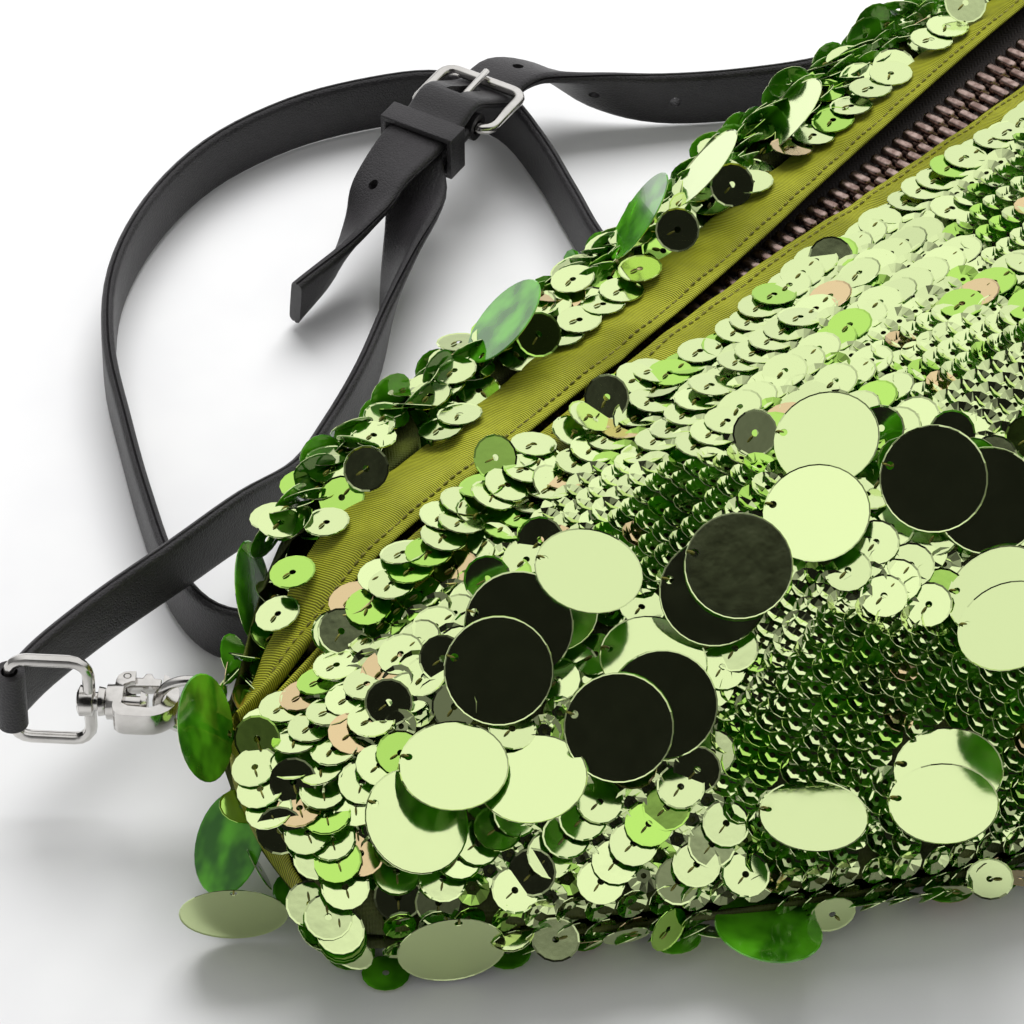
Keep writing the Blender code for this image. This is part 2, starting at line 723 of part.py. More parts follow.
def build_eye(side_name, frame):
    """Swivel eye for the strap: a rectangular ring on a collared post, riveted into the hook."""
    centre = (EYE_START + EYE_END) / 2
    ring = round_box(
        (EYE_START - centre, -EYE_HALF), (EYE_END - centre, EYE_HALF), 0.0030, 4
    )
    eye = wire(
        side_name + "_eye", [(x, y, 0) for x, y in ring], EYE_R, NICKEL, True, frame, (centre, 0, 0)
    )
    head = HOOK_MOUTH_END - 0.0030
    profile = [
        (head, 0.0), (head, 0.0017), (head + 0.0011, 0.0022), (head + 0.0012, POST_R),
        (HOOK_END + GAP, POST_R), (HOOK_END + GAP, 0.0024), (HOOK_END + 0.0014, 0.0026),
        (HOOK_END + 0.0016, 0.0016), (HOOK_END + 0.0022, 0.0016), (HOOK_END + 0.0024, 0.0027),
        (EYE_START + 0.0016, 0.0027), (EYE_START + 0.0021, 0.0018), (EYE_START + 0.0021, 0.0),
    ]
    boolean(eye, turned(side_name + "_eye_post", profile, NICKEL, frame), "UNION")


# Strap
def through(points, per_run):
    """Points on a smooth curve through the given ones, per_run to each run."""
    first, last = 2 * points[0] - points[1], 2 * points[-1] - points[-2]
    ends = [first, *points, last]
    found = []
    for index in range(1, len(ends) - 2):
        a, b, c, d = ends[index - 1 : index + 3]
        for step in range(per_run):
            t = step / per_run
            found.append(
                0.5 * (2 * b + (c - a) * t + (2 * a - 5 * b + 4 * c - d) * t**2 + (3 * b - a - 3 * c + d) * t**3)
            )
    return found + [points[-1]]


def ribbon(name, route):
    """A flat strap along (x, y, z, lie) points: lie 0 stands on edge, 90 lies flat."""
    path = through([Vector(place).to_4d() if len(place) == 3 else Vector(place) for place in route], 2)
    curve = bpy.data.curves.new(name, "CURVE")
    curve.dimensions = "3D"
    curve.twist_mode = "Z_UP"
    curve.extrude = STRAP_WIDTH / 2 - STRAP_T / 2
    curve.bevel_depth = STRAP_T / 2
    curve.bevel_resolution = 0
    curve.use_fill_caps = True
    spline = curve.splines.new("POLY")
    spline.points.add(len(path) - 1)
    for point, place in zip(spline.points, path):
        point.co = (*place[:3], 1.0)
        point.tilt = math.radians(place[3])
    return curve_to_mesh(add_object(name, curve, LEATHER))


def fold(strap, name, frame, axis_point, axis):
    """The end of a strap folded round a bar: a sleeve joined to it, with a bore for the bar."""
    half = axis * STRAP_WIDTH / 2
    sleeve = cylinder(
        name, axis_point - half, axis_point + half, EYE_R + FOLD_CLEARANCE + STRAP_T / 2, LEATHER, frame
    )
    boolean(strap, sleeve, "UNION")
    bore = cylinder(
        name + "_bore", axis_point - half * 1.4, axis_point + half * 1.4, EYE_R + FOLD_CLEARANCE, None, frame
    )
    boolean(strap, bore, "DIFFERENCE")


def punch(strap, route):
    """Round holes at one pitch along the long strap, on both sides of the one in use."""
    path = through([Vector(place).to_4d() if len(place) == 3 else Vector(place) for place in route], 8)
    spots = [Vector(place[:3]) for place in path]
    runs = [0.0]
    for before, after in zip(spots, spots[1:]):
        runs.append(runs[-1] + (after - before).length)
    in_use = min(range(len(spots)), key=lambda index: (spots[index] - BUCKLE_CENTRE).length)
    for count in PUNCHED:
        target = runs[in_use] + count * PUNCH_PITCH
        index = min(range(1, len(runs) - 1), key=lambda k: abs(runs[k] - target))
        ahead = (spots[index + 1] - spots[index - 1]).normalized()
        side = ahead.cross(Vector((0, 0, 1))).normalized()
        lie = math.radians(path[index][3])
        across = side.cross(ahead) * math.cos(lie) + side * math.sin(lie)
        out = ahead.cross(across) * STRAP_T
        hole = cylinder(f"long_punched_hole_{count}", spots[index] - out, spots[index] + out, PUNCH_R, None)
        boolean(strap, hole, "DIFFERENCE")


def buckle_frame():
    empty = bpy.data.objects.new("buckle", None)
    parts.objects.link(empty)
    empty.matrix_world = Matrix.Translation(BUCKLE_CENTRE) @ Matrix.Rotation(BUCKLE_TURN, 4, "Z")
    return empty


def in_buckle(along, across, up, lie):
    """A route point given in the buckle's own directions."""
    place = Matrix.Rotation(BUCKLE_TURN, 3, "Z") @ Vector((along, across, up)) + BUCKLE_CENTRE
    return (*place, lie)


def eye_bar(side):
    return Vector((
        side * (CLIP_X - EYE_END * math.cos(CLIP_TURN)), clip_y() + EYE_END * math.sin(CLIP_TURN), CLIP_Z
    ))


ON_EDGE = STRAP_WIDTH / 2 + 0.0002
CROSSING_Z = STRAP_WIDTH * 1.5 + 0.0022
HEEL_TOP = BUCKLE_R + FOLD_CLEARANCE + STRAP_T / 2


def short_route():
    """From the left eye, over the long strap, down to the surface and up to the buckle."""
    bar = eye_bar(-1)
    heart = BUCKLE_CENTRE.z
    return [
        (bar.x + 0.0018, bar.y + 0.0006, bar.z, 0),
        (bar.x + 0.0115, bar.y + 0.0022, mix(bar.z, CROSSING_Z, 0.30), 0),
        (mix(bar.x, -0.1120, 0.62), 0.0406, mix(bar.z, CROSSING_Z, 0.75), 0),
        (-0.1120, 0.0400, CROSSING_Z, 0), (-0.0930, 0.0424, mix(CROSSING_Z, ON_EDGE, 0.30), 0),
        (-0.0740, 0.0462, 0.0084, 0), (-0.0585, 0.0514, ON_EDGE, 0), (-0.0430, 0.0570, ON_EDGE, 0),
        (-0.0280, 0.0645, ON_EDGE + 0.0006, 8), (-0.0140, 0.0725, heart - 0.0075, 35),
        (-0.0020, 0.0790, heart - 0.0040, 70),
        in_buckle(-0.0210, -0.0004, -0.0006, 90), in_buckle(-0.0130, 0, -0.0002, 90),
        in_buckle(-BUCKLE_HALF_LENGTH - 0.0018, 0, 0, 90),
    ]


def long_route():
    """From its free end through the buckle, round behind the pouch and out again in a wide loop."""
    bar = eye_bar(1)
    heart = BUCKLE_CENTRE.z
    under = -BUCKLE_R - GAP - STRAP_T / 2
    over = HEEL_TOP + 3 * GAP + STRAP_T / 2
    return [
        (-0.0335, 0.0815, ON_EDGE + 0.0004, 12), (-0.0220, 0.0818, heart - 0.0079, 25),
        (-0.0120, 0.0830, heart - 0.0035, 50), (-0.0055, 0.0846, heart + 0.0001, 72),
        in_buckle(-0.0210, 0.0004, 0.0029, 90),
        in_buckle(-0.0130, 0, 0.0034, 90), in_buckle(-BUCKLE_HALF_LENGTH, 0, over, 90),
        in_buckle(0.0, 0, (over + under) / 2, 90), in_buckle(BUCKLE_HALF_LENGTH, 0, under, 90),
        in_buckle(0.0130, -0.0006, -0.0026, 86), (0.0432, 0.0862, heart - 0.0043, 62),
        (0.0495, 0.0776, heart - 0.0077, 25), (0.0575, 0.0680, ON_EDGE + 0.0004, 4), (0.0690, 0.0570, ON_EDGE, 0),
        (0.0830, 0.0470, ON_EDGE, 0), (0.0990, 0.0420, ON_EDGE, 0), (0.1130, 0.0412, ON_EDGE, 0),
        (0.1205, 0.0350, ON_EDGE, 0), (0.1130, 0.0292, ON_EDGE, 0), (0.0950, 0.0285, ON_EDGE, 0),
        (0.0700, 0.0283, ON_EDGE, 0), (0.0450, 0.0283, ON_EDGE, 0), (0.0250, 0.0290, ON_EDGE, 0),
        (0.0135, 0.0345, ON_EDGE, 0), (0.0125, 0.0450, ON_EDGE, 0), (0.0205, 0.0595, ON_EDGE, 0),
        (0.0285, 0.0735, ON_EDGE, 0), (0.0345, 0.0885, ON_EDGE, 0), (0.0315, 0.1010, ON_EDGE, 0),
        (0.0215, 0.1100, ON_EDGE, 0), (0.0060, 0.1180, ON_EDGE, 0), (-0.0130, 0.1215, ON_EDGE, 0),
        (-0.0330, 0.1185, ON_EDGE, 0), (-0.0520, 0.1100, ON_EDGE, 0), (-0.0680, 0.0965, ON_EDGE, 0),
        (-0.0815, 0.0800, ON_EDGE, 0), (-0.0940, 0.0635, ON_EDGE, 0), (-0.1050, 0.0470, ON_EDGE, 0),
        (-0.1085, 0.0340, ON_EDGE, 0), (-0.1025, 0.0255, ON_EDGE, 0), (-0.0880, 0.0236, ON_EDGE, 0),
        (-0.0500, 0.0232, ON_EDGE, 0), (0.0000, 0.0232, ON_EDGE, 0), (0.0500, 0.0232, ON_EDGE, 0),
        (0.0900, 0.0236, ON_EDGE, 0), (0.1150, 0.0248, mix(ON_EDGE, bar.z, 0.18), 0),
        (0.1350, 0.0300, mix(ON_EDGE, bar.z, 0.557), 0),
        (bar.x - 0.0090, bar.y - 0.0045, bar.z - 0.0020, 0), (bar.x - 0.0018, bar.y - 0.0008, bar.z, 0),
    ]


def build_strap(left, right):
    buckle = buckle_frame()
    up = Vector((0, 1, 0))
    short = ribbon("strap_short", short_route())
    fold(short, "short_eye_fold", left, Vector((EYE_END, 0, 0)), up)
    heel = Vector((-BUCKLE_HALF_LENGTH, 0, 0))
    fold(short, "short_buckle_fold", buckle, heel, up)
    half = PRONG_SLOT / 2
    prong_slot = box(
        "short_prong_slot", (heel.x - 0.0050, -half, -0.0060), (heel.x + 0.0060, half, 0.0060), None, buckle
    )
    boolean(short, prong_slot, "DIFFERENCE")
    long = ribbon("strap_long", long_route())
    fold(long, "long_eye_fold", right, Vector((EYE_END, 0, 0)), up)
    hole = box(
        "long_prong_hole", (heel.x + 0.0012, -half, -0.0040), (heel.x + 0.0090, half, 0.0075), None, buckle
    )
    boolean(long, hole, "DIFFERENCE")
    punch(long, long_route())
    build_buckle(buckle, heel)


def build_buckle(frame, heel):
    outline = round_box(
        (-BUCKLE_HALF_LENGTH, -BUCKLE_HALF_WIDTH), (BUCKLE_HALF_LENGTH, BUCKLE_HALF_WIDTH), 0.0024, 4
    )
    wire("buckle_frame", [(x, y, 0) for x, y in outline], BUCKLE_R, NICKEL, True, frame)
    collar_r = BUCKLE_R + RUNNING + 0.0009
    half = PRONG_WIDTH / 2
    prong = cylinder("buckle_prong", (0, -half, 0), (0, half, 0), collar_r, NICKEL, frame, heel)
    reach = 2 * BUCKLE_HALF_LENGTH + BUCKLE_R * 0.4
    tip = BUCKLE_R + GAP + 0.0007
    finger = wire(
        "buckle_prong_finger", [(0.0004, 0, 0.0012), (0.0040, 0, 0.0018), (reach, 0, tip)], 0.0007,
        NICKEL, False, frame, heel,
    )
    boolean(prong, finger, "UNION")
    bore = cylinder(
        "buckle_prong_bore", (0, -half * 2, 0), (0, half * 2, 0), BUCKLE_R + RUNNING, None, frame, heel
    )
    boolean(prong, bore, "DIFFERENCE")
    wide = STRAP_WIDTH / 2 + 0.0007
    low, high = -STRAP_T / 2 - 0.0010, 0.0030 + STRAP_T / 2 + 0.0006
    keeper = box(
        "strap_keeper", (-KEEPER_LENGTH / 2, -wide - KEEPER_T, low - KEEPER_T),
        (KEEPER_LENGTH / 2, wide + KEEPER_T, high + KEEPER_T), LEATHER, frame, (KEEPER_AT, 0, 0),
    )
    inside = box(
        "strap_keeper_inside", (-KEEPER_LENGTH, -wide, low), (KEEPER_LENGTH, wide, high), None,
        frame, (KEEPER_AT, 0, 0),
    )
    boolean(keeper, inside, "DIFFERENCE")


# Assembly
build_panels()
build_lining()
build_gusset("left_gusset", 0)
build_gusset("right_gusset", COLUMNS)
build_facings()
build_chain("front_zip_chain", -1, 0.0)
build_chain("back_zip_chain", 1, PITCH / 2)
build_stops()
build_pull(build_slider())
left_clip = clip_frame("left_clip", -1)
right_clip = clip_frame("right_clip", 1)
for side, clip in (("left", left_clip), ("right", right_clip)):
    build_ring(side, clip)
    build_hook(side, clip)
    build_eye(side, clip)
build_strap(left_clip, right_clip)

# The origin is moved under the middle of the pouch, taken over its panels and its rings.
bpy.context.view_layer.update()
graph = bpy.context.evaluated_depsgraph_get()
reach = []
for name in ("front_panel", "back_panel", "left_ring", "right_ring"):
    shape = parts.objects[name].evaluated_get(graph)
    reach += [(shape.matrix_world @ vert.co).y for vert in shape.data.vertices]
for made in [*parts.objects, *cutters.objects]:
    if made.parent is None:
        made.location.y -= (min(reach) + max(reach)) / 2
bpy.context.view_layer.update()
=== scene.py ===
import math
import random

import bmesh
import bpy
import numpy as np
from mathutils import Matrix, Vector, noise
from mathutils.bvhtree import BVHTree


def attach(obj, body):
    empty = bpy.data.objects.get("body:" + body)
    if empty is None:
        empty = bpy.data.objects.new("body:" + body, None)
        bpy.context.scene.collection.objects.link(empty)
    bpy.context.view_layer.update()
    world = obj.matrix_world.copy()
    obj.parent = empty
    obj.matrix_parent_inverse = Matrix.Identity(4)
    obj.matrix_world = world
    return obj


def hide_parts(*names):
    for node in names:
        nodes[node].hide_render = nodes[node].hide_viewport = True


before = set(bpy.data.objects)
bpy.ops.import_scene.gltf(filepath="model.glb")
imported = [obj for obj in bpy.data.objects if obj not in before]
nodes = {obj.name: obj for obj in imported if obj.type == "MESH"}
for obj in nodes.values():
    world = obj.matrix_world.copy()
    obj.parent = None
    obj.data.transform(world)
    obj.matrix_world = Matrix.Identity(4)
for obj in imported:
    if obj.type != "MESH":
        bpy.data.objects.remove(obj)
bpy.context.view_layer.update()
random.seed(7)
noise.seed_set(7)

# Camera: a long lens looks down over the tip of the pouch at the zip and the front panel.
# The zip line of the pouch lies this far from the origin, which is under the pouch's middle.
ZIP_Y = 0.0595
PICTURE_POINTS = 1024.0  # the picture's width
PICTURE_MIDDLE = PICTURE_POINTS / 2
FOCAL_POINTS = 6000.0
SENSOR_WIDTH = 36.0
EYE = Vector((-0.6628, -0.4938 + ZIP_Y, 0.7214))
camera_right = Vector((0.639, -0.769, 0.0)).normalized()
camera_back = Vector((-0.571, -0.475, 0.669)).normalized()
camera_up = camera_back.cross(camera_right)
camera_data = bpy.data.cameras.new("photo_camera")
camera_data.sensor_width = SENSOR_WIDTH
camera_data.lens = FOCAL_POINTS / PICTURE_POINTS * SENSOR_WIDTH
camera_data.clip_end = 20.0
camera = bpy.data.objects.new("photo_camera", camera_data)
camera.matrix_world = Matrix.Translation(EYE) @ Matrix(
    (camera_right, camera_up, camera_back)
).transposed().to_4x4()
bpy.context.scene.collection.objects.link(camera)
bpy.context.scene.camera = camera
bpy.context.scene.view_settings.view_transform = "Standard"


class Shade:
    """One socket of a node tree. Arithmetic on it adds Math nodes; node() adds any other."""

    def __init__(self, tree, socket=None):
        self.tree = tree
        self.socket = socket

    def node(self, kind, settings=None, values=None, output=0):
        made = self.tree.nodes.new(kind)
        for key, value in (settings or {}).items():
            setattr(made, key, value)
        for key, value in (values or {}).items():
            if isinstance(value, Shade):
                self.tree.links.new(value.socket, made.inputs[key])
            else:
                made.inputs[key].default_value = value
        return Shade(self.tree, made.outputs[output])

    def maths(self, operation, a, b):
        return self.node("ShaderNodeMath", {"operation": operation}, {0: a, 1: b})

    def __add__(self, other):
        return self.maths("ADD", self, other)

    def __rsub__(self, other):
        return self.maths("SUBTRACT", other, self)

    def __mul__(self, other):
        return self.maths("MULTIPLY", self, other)

    __radd__, __rmul__ = __add__, __mul__

    def band(self, low, high):
        """0 at low, 1 at high, smooth between."""
        return self.node(
            "ShaderNodeMapRange", {"interpolation_type": "SMOOTHSTEP"},
            {"Value": self, "From Min": low, "From Max": high},
        )

    def blend(self, first, second):
        """A colour that runs from first to second as this value runs from 0 to 1."""
        colours = {6: (*first, 1.0), 7: second if isinstance(second, Shade) else (*second, 1.0)}
        return self.node("ShaderNodeMix", {"data_type": "RGBA"}, {0: self, **colours}, 2)

    def place(self):
        """The piece's own coordinates."""
        return self.node("ShaderNodeTexCoord", output=3)

    def clouds(self, scale, detail=2.0):
        """Cloudy noise on the piece's own coordinates."""
        return self.node(
            "ShaderNodeTexNoise", values={"Vector": self.place(), "Scale": scale, "Detail": detail}
        )


# Studio: a pale table, one soft lamp overhead and a white surround. The room behind the camera is
# dim, so a mirror-bright piece shows pale, or dark where it faces the camera.
SKY_BRIGHT = Vector((0.50, 0.16, 0.85)).normalized()
DIM_ROOM, WALLS, LAMP_GLOW = 0.009, 0.17, 0.85  # how bright each is in a mirror
PLAIN_LIGHT = 0.50
LAMP_PLACE = Vector((0.46, 0.50, 0.88))
LAMP_AIM = Vector((0.0, 0.02, 0.0))
LAMP_SIZE = (0.9, 0.7)
LAMP_POWER = 15.0
TABLE_SIZE, TABLE_TOP = 6.0, -0.0004
world = bpy.data.worlds.new("studio")
bpy.context.scene.world = world
world.use_nodes = True
world.node_tree.nodes.clear()
sky = Shade(world.node_tree)
towards = sky.node("ShaderNodeTexCoord", output=0)
facing_lamp, facing_camera = (
    sky.node("ShaderNodeVectorMath", {"operation": "DOT_PRODUCT"}, {0: towards, 1: way}, 1)
    for way in (SKY_BRIGHT, camera_back)
)
dim_room = facing_camera.band(0.78, 0.92)
surround = DIM_ROOM + (1.0 - dim_room) * (WALLS + LAMP_GLOW * facing_lamp.band(0.25, 0.78))
path = sky.node("ShaderNodeLightPath", output=0)
glossy = Shade(world.node_tree, path.socket.node.outputs["Is Glossy Ray"])
through = Shade(world.node_tree, path.socket.node.outputs["Is Transmission Ray"])
mirrored = sky.maths("MAXIMUM", glossy, through)
level = path + (1.0 - path) * (mirrored * surround + (1.0 - mirrored) * PLAIN_LIGHT)
light = sky.node("ShaderNodeBackground", values={0: (1, 1, 1, 1), 1: level})
world_out = world.node_tree.nodes.new("ShaderNodeOutputWorld")
world.node_tree.links.new(light.socket, world_out.inputs[0])

lamp_data = bpy.data.lights.new("overhead_softbox", "AREA")
lamp_data.shape = "RECTANGLE"
lamp_data.size, lamp_data.size_y = LAMP_SIZE
lamp_data.energy = LAMP_POWER
lamp = bpy.data.objects.new("overhead_softbox", lamp_data)
lamp.location = LAMP_PLACE
lamp.rotation_euler = (LAMP_AIM - LAMP_PLACE).to_track_quat("-Z", "Y").to_euler()
lamp.visible_glossy = False
bpy.context.scene.collection.objects.link(lamp)


def new_finish(name):
    """An empty procedural finish: the material, its Shade and its Principled shader."""
    made = bpy.data.materials.new(name)
    made.use_nodes = True
    return made, Shade(made.node_tree), made.node_tree.nodes["Principled BSDF"]


def plug(shader, name, value):
    if isinstance(value, Shade):
        value.tree.links.new(value.socket, shader.inputs[name])
    else:
        shader.inputs[name].default_value = value


def rough_bump(shade, shader, height, distance, strength=1.0):
    bump = shade.node(
        "ShaderNodeBump", values={"Height": height, "Distance": distance, "Strength": strength}
    )
    plug(shader, "Normal", bump)


def shape_from(primitive, **sizes):
    """A new object made from one of Blender's primitives, selected alone."""
    bpy.ops.object.select_all(action="DESELECT")
    primitive(**sizes)
    return bpy.context.object


table = shape_from(bpy.ops.mesh.primitive_plane_add, size=TABLE_SIZE, location=(0, 0, TABLE_TOP))
table.name = "table_top"
table_finish, shade, shader = new_finish("pale_table")
speckle = shade.clouds(60.0).band(0.2, 0.8)
plug(shader, "Base Color", speckle.blend((0.74, 0.74, 0.745), (0.77, 0.77, 0.77)))
plug(shader, "Roughness", 0.55)
table.data.materials.append(table_finish)


# Panels: two pieces of olive cloth cut to one outline and seamed round the bottom and the tips.
# Interlining and a loose filling hold them out, and they ripple a little between the stitches.
CLOTH_RIPPLE = 0.0006
CLOTH_RIPPLES_PER_METRE = 38.0
TABLE_CLEARANCE = 0.0007
BACK_ROLL = 0.0110  # how far the filled back rolls out below the zip edge
BACK_CREST = 0.0040  # and up beside it
BACK_EDGE_Z = 0.0345
BACK_EDGE_HALF = 0.138
LOWER_EDGE_Y = -0.0783
DRAWN_FROM_Y = -0.0050
DRAWN_UP = 0.0100  # how far the strings of sequins gather the lower edge in


def add_object(name, mesh, *finishes):
    made = bpy.data.objects.new(name, mesh)
    bpy.context.scene.collection.objects.link(made)
    for finish in finishes:
        mesh.materials.append(finish)
    return made


def only(made):
    """Selects one object alone and makes it the active one."""
    bpy.ops.object.select_all(action="DESELECT")
    made.select_set(True)
    bpy.context.view_layer.objects.active = made


def cad_copy(name, node, *finishes):
    """A copy of a CAD piece, its corners merged and its triangles paired, ready to be finished."""
    mesh = nodes[node].data.copy()
    mesh.name = name
    mesh.transform(nodes[node].matrix_world)
    mesh.materials.clear()
    made = add_object(name, mesh, *finishes)
    only(made)
    bpy.ops.object.mode_set(mode="EDIT")
    bpy.ops.mesh.select_all(action="SELECT")
    bpy.ops.mesh.remove_doubles(threshold=0.000005)
    bpy.ops.mesh.tris_convert_to_quads(face_threshold=0.9, shape_threshold=1.2)
    bpy.ops.object.mode_set(mode="OBJECT")
    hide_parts(node)
    return made


def modified(made, kind, **settings):
    """Gives an object a modifier and applies it at once."""
    modifier = made.modifiers.new("shaping", kind)
    for key, value in settings.items():
        setattr(modifier, key, value)
    only(made)
    bpy.ops.object.modifier_apply(modifier="shaping")


def soften(made, levels):
    """Rounds a cloth piece off by subdivision."""
    modified(made, "SUBSURF", levels=levels, render_levels=levels)
    made.data.shade_smooth()


def share_of(value, low, high):
    """How far a value has come from low to high, kept between 0 and 1."""
    return min(1.0, max(0.0, (value - low) / (high - low)))


def gathered(spot):
    """Where a point of the cloth ends up once the lower edge is drawn in."""
    return spot + Vector((0, DRAWN_UP * share_of(spot.y, DRAWN_FROM_Y, LOWER_EDGE_Y) ** 2, 0))


WEAVE = 9000.0  # radians of the weave's wave to the metre
cloth, shade, shader = new_finish("olive_cloth")
east, north = (
    shade.node("ShaderNodeSeparateXYZ", values={0: shade.place()}, output=axis) for axis in range(2)
)
weave = shade.maths("SINE", east * WEAVE, 0.0) * shade.maths("SINE", north * WEAVE, 0.0)
patch = shade.clouds(70.0, 4.0)
# The cloth's own olive, darkened as painted shade so that it reads dark in the gaps between the sequins.
plug(shader, "Base Color", patch.band(0.3, 0.7).blend((0.030, 0.040, 0.004), (0.085, 0.105, 0.010)))
plug(shader, "Roughness", 0.6 + 0.15 * patch)
rough_bump(shade, shader, weave, 0.0001, 0.6)

front_cloth = cad_copy("front_cloth", "front_panel", cloth)
back_cloth = cad_copy("back_cloth", "back_panel", cloth)
for piece in (front_cloth, back_cloth):
    soften(piece, 1)
    normals = [vert.normal.copy() for vert in piece.data.vertices]
    for vert, normal in zip(piece.data.vertices, normals):
        ripple = noise.noise(vert.co * CLOTH_RIPPLES_PER_METRE)
        vert.co = gathered(vert.co + normal * ripple * CLOTH_RIPPLE)
        vert.co.z = max(vert.co.z, TABLE_CLEARANCE)
        if piece is back_cloth and vert.co.y > ZIP_Y:
            share = share_of(vert.co.z, 0.0, BACK_EDGE_Z)
            middle = max(0.0, 1.0 - (abs(vert.co.x) / BACK_EDGE_HALF) ** 4)
            vert.co.y += BACK_ROLL * middle * math.sin(math.pi * share**3)
            vert.co.z += BACK_CREST * middle * math.sin(math.pi * share**6)
    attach(piece, "pouch")


# Lining: one inner bag of dark satin, sewn in along the zip. Its lower edge is gathered in with
# that of the panels.
satin, shade, shader = new_finish("dark_satin")
folds = shade.clouds(90.0, 3.0)
plug(shader, "Base Color", folds.band(0.3, 0.7).blend((0.010, 0.009, 0.008), (0.022, 0.019, 0.016)))
plug(shader, "Roughness", 0.42 + 0.2 * folds)
rough_bump(shade, shader, folds, 0.0008, 0.5)
lining_bag = cad_copy("lining_bag", "lining", satin)
soften(lining_bag, 1)
for vert in lining_bag.data.vertices:
    vert.co = gathered(vert.co)
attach(lining_bag, "pouch")


# Zip band: a folded strip of ribbed olive-gold faille along each side of the zip, and a strip
# of the same cloth that closes each tip. The strips are topstitched along their folds.
RIB_PITCH = 0.00042
STITCH = Vector((0.0015, 0.00055, 0.00055))
STITCH_PITCH = 0.0018
STITCH_INSET = 0.0028
STITCHED_HALF = 0.136
STITCH_SAG = 1.6
STITCH_REACH = 0.0004  # half of what a stitch spans on the cloth
STITCH_LIFT = 0.00012
GROOVE_HALF, GROOVE_DEPTH = 0.0010, 0.00042  # of the pulled-in stitch line
PUCKER = 0.0009
ZIP_HALF = 0.098
LIP_LEFT, LIP_RIGHT, LIP_SHUT = 0.0010, 0.0066, 0.0007  # half the gap between the folds
LIP_PARTING = -0.036  # where the folds begin to part
SHUT_FROM, SHUT_AT = 0.102, 0.112  # where they close past the ends of the zip
FOLD = 0.0030  # how far in from its fold a band gives way when the two meet
MEET_FROM, MEET_AT = 0.020, -0.030  # from where to where they come together
MEETING_HALF = 0.00025  # half the gap that is left there
BAND_END_X, BAND_END_Z = 0.1405, 0.0325  # where the bands run out
TIP_DRAWN, TIP_DRAWN_ABOVE = 0.8, 0.55  # how the tip strips are drawn up to the bands' ends
OVERHEAD = 0.2  # rays start this high
DOWN = Vector((0, 0, -1))


def ribbed_finish(name, across):
    """Faille whose ribs repeat in the direction across, with painted sheen and painted shade on them."""
    made, shade, shader = new_finish(name)
    run = shade.node(
        "ShaderNodeVectorMath", {"operation": "DOT_PRODUCT"}, {0: shade.place(), 1: across}, 1
    )
    slub, wear_and_sheen = shade.clouds(420.0, 3.0), shade.clouds(55.0, 3.0)
    rib = shade.maths("SINE", run * (math.tau / RIB_PITCH) + slub * 2.6, 0.0) * 0.5 + 0.5
    # The light colour is a painted sheen that comes and goes in large patches, as over folds.
    light = wear_and_sheen.band(0.3, 0.75).blend((0.25, 0.265, 0.013), (0.48, 0.50, 0.045))
    rib_sheen_and_shade = (rib * 0.75 + slub * 0.35).band(0.05, 0.9)
    # Rib crests and slubs get the painted sheen; the troughs between the ribs get the dark colour as
    # painted shade.
    plug(shader, "Base Color", rib_sheen_and_shade.blend((0.090, 0.092, 0.004), light))
    plug(shader, "Roughness", 0.42 + 0.25 * slub)
    plug(shader, "Specular IOR Level", 0.25)
    rough_bump(shade, shader, rib + slub * 0.5, 0.00016, 0.8)
    return made


def eased(value, low, high):
    """0 at low, 1 at high, smooth between."""
    share = share_of(value, low, high)
    return share**2 * (3 - 2 * share)


def lip(x):
    """Half the gap between the band's two folds at x."""
    open_gap = LIP_LEFT + (LIP_RIGHT - LIP_LEFT) * eased(x, LIP_PARTING, ZIP_HALF)
    return open_gap + (LIP_SHUT - open_gap) * eased(abs(x), SHUT_FROM, SHUT_AT)


def tree_of(piece):
    """A search tree of a piece's faces, for rays."""
    return BVHTree.FromPolygons(
        [vert.co for vert in piece.data.vertices], [list(face.vertices) for face in piece.data.polygons]
    )


band_faille = ribbed_finish("ribbed_faille", (1.0, 0.0, 0.0))
tip_faille = ribbed_finish("ribbed_faille_at_tips", (0.25, 0.95, 0.2))
band_trees = {}
for name, node, finish in (
    ("front_band", "front_facing", band_faille), ("back_band", "back_facing", band_faille),
    ("left_tip_strip", "left_gusset", tip_faille), ("right_tip_strip", "right_gusset", tip_faille),
):
    strip = cad_copy(name, node, finish)
    soften(strip, 3 if finish is band_faille else 2)
    if finish is band_faille:
        normals = [vert.normal.copy() for vert in strip.data.vertices]
        for vert, normal in zip(strip.data.vertices, normals):
            gap = lip(vert.co.x)
            side = math.copysign(1, vert.co.y - ZIP_Y)
            from_fold = max(0.0, abs(vert.co.y - ZIP_Y) - gap)
            off_line = abs(from_fold - STITCH_INSET) / GROOVE_HALF
            if normal.z > 0.2:
                pull = noise.noise(Vector((vert.co.x * 120.0, side * 3.0, from_fold * 60.0)))
                vert.co += normal * PUCKER * pull * min(1.0, from_fold / FOLD)
                vert.co -= normal * GROOVE_DEPTH * max(0.0, 1.0 - off_line**2)
            closes = share_of(vert.co.x, MEET_FROM, MEET_AT) * max(0.0, gap - MEETING_HALF)
            vert.co.y -= side * closes * max(0.0, 1.0 - from_fold / FOLD)
    else:
        low, high = (pick(vert.co.z for vert in strip.data.vertices) for pick in (min, max))
        for vert in strip.data.vertices:
            above = max(0.0, (vert.co.z - low) / (high - low) - TIP_DRAWN_ABOVE)
            end_x = math.copysign(BAND_END_X, vert.co.x)
            band_end = Vector((end_x, (vert.co.y + ZIP_Y) / 2, BAND_END_Z))
            vert.co = vert.co.lerp(band_end, TIP_DRAWN * above / (1 - TIP_DRAWN_ABOVE))
    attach(strip, "pouch")
    band_trees[name] = tree_of(strip)


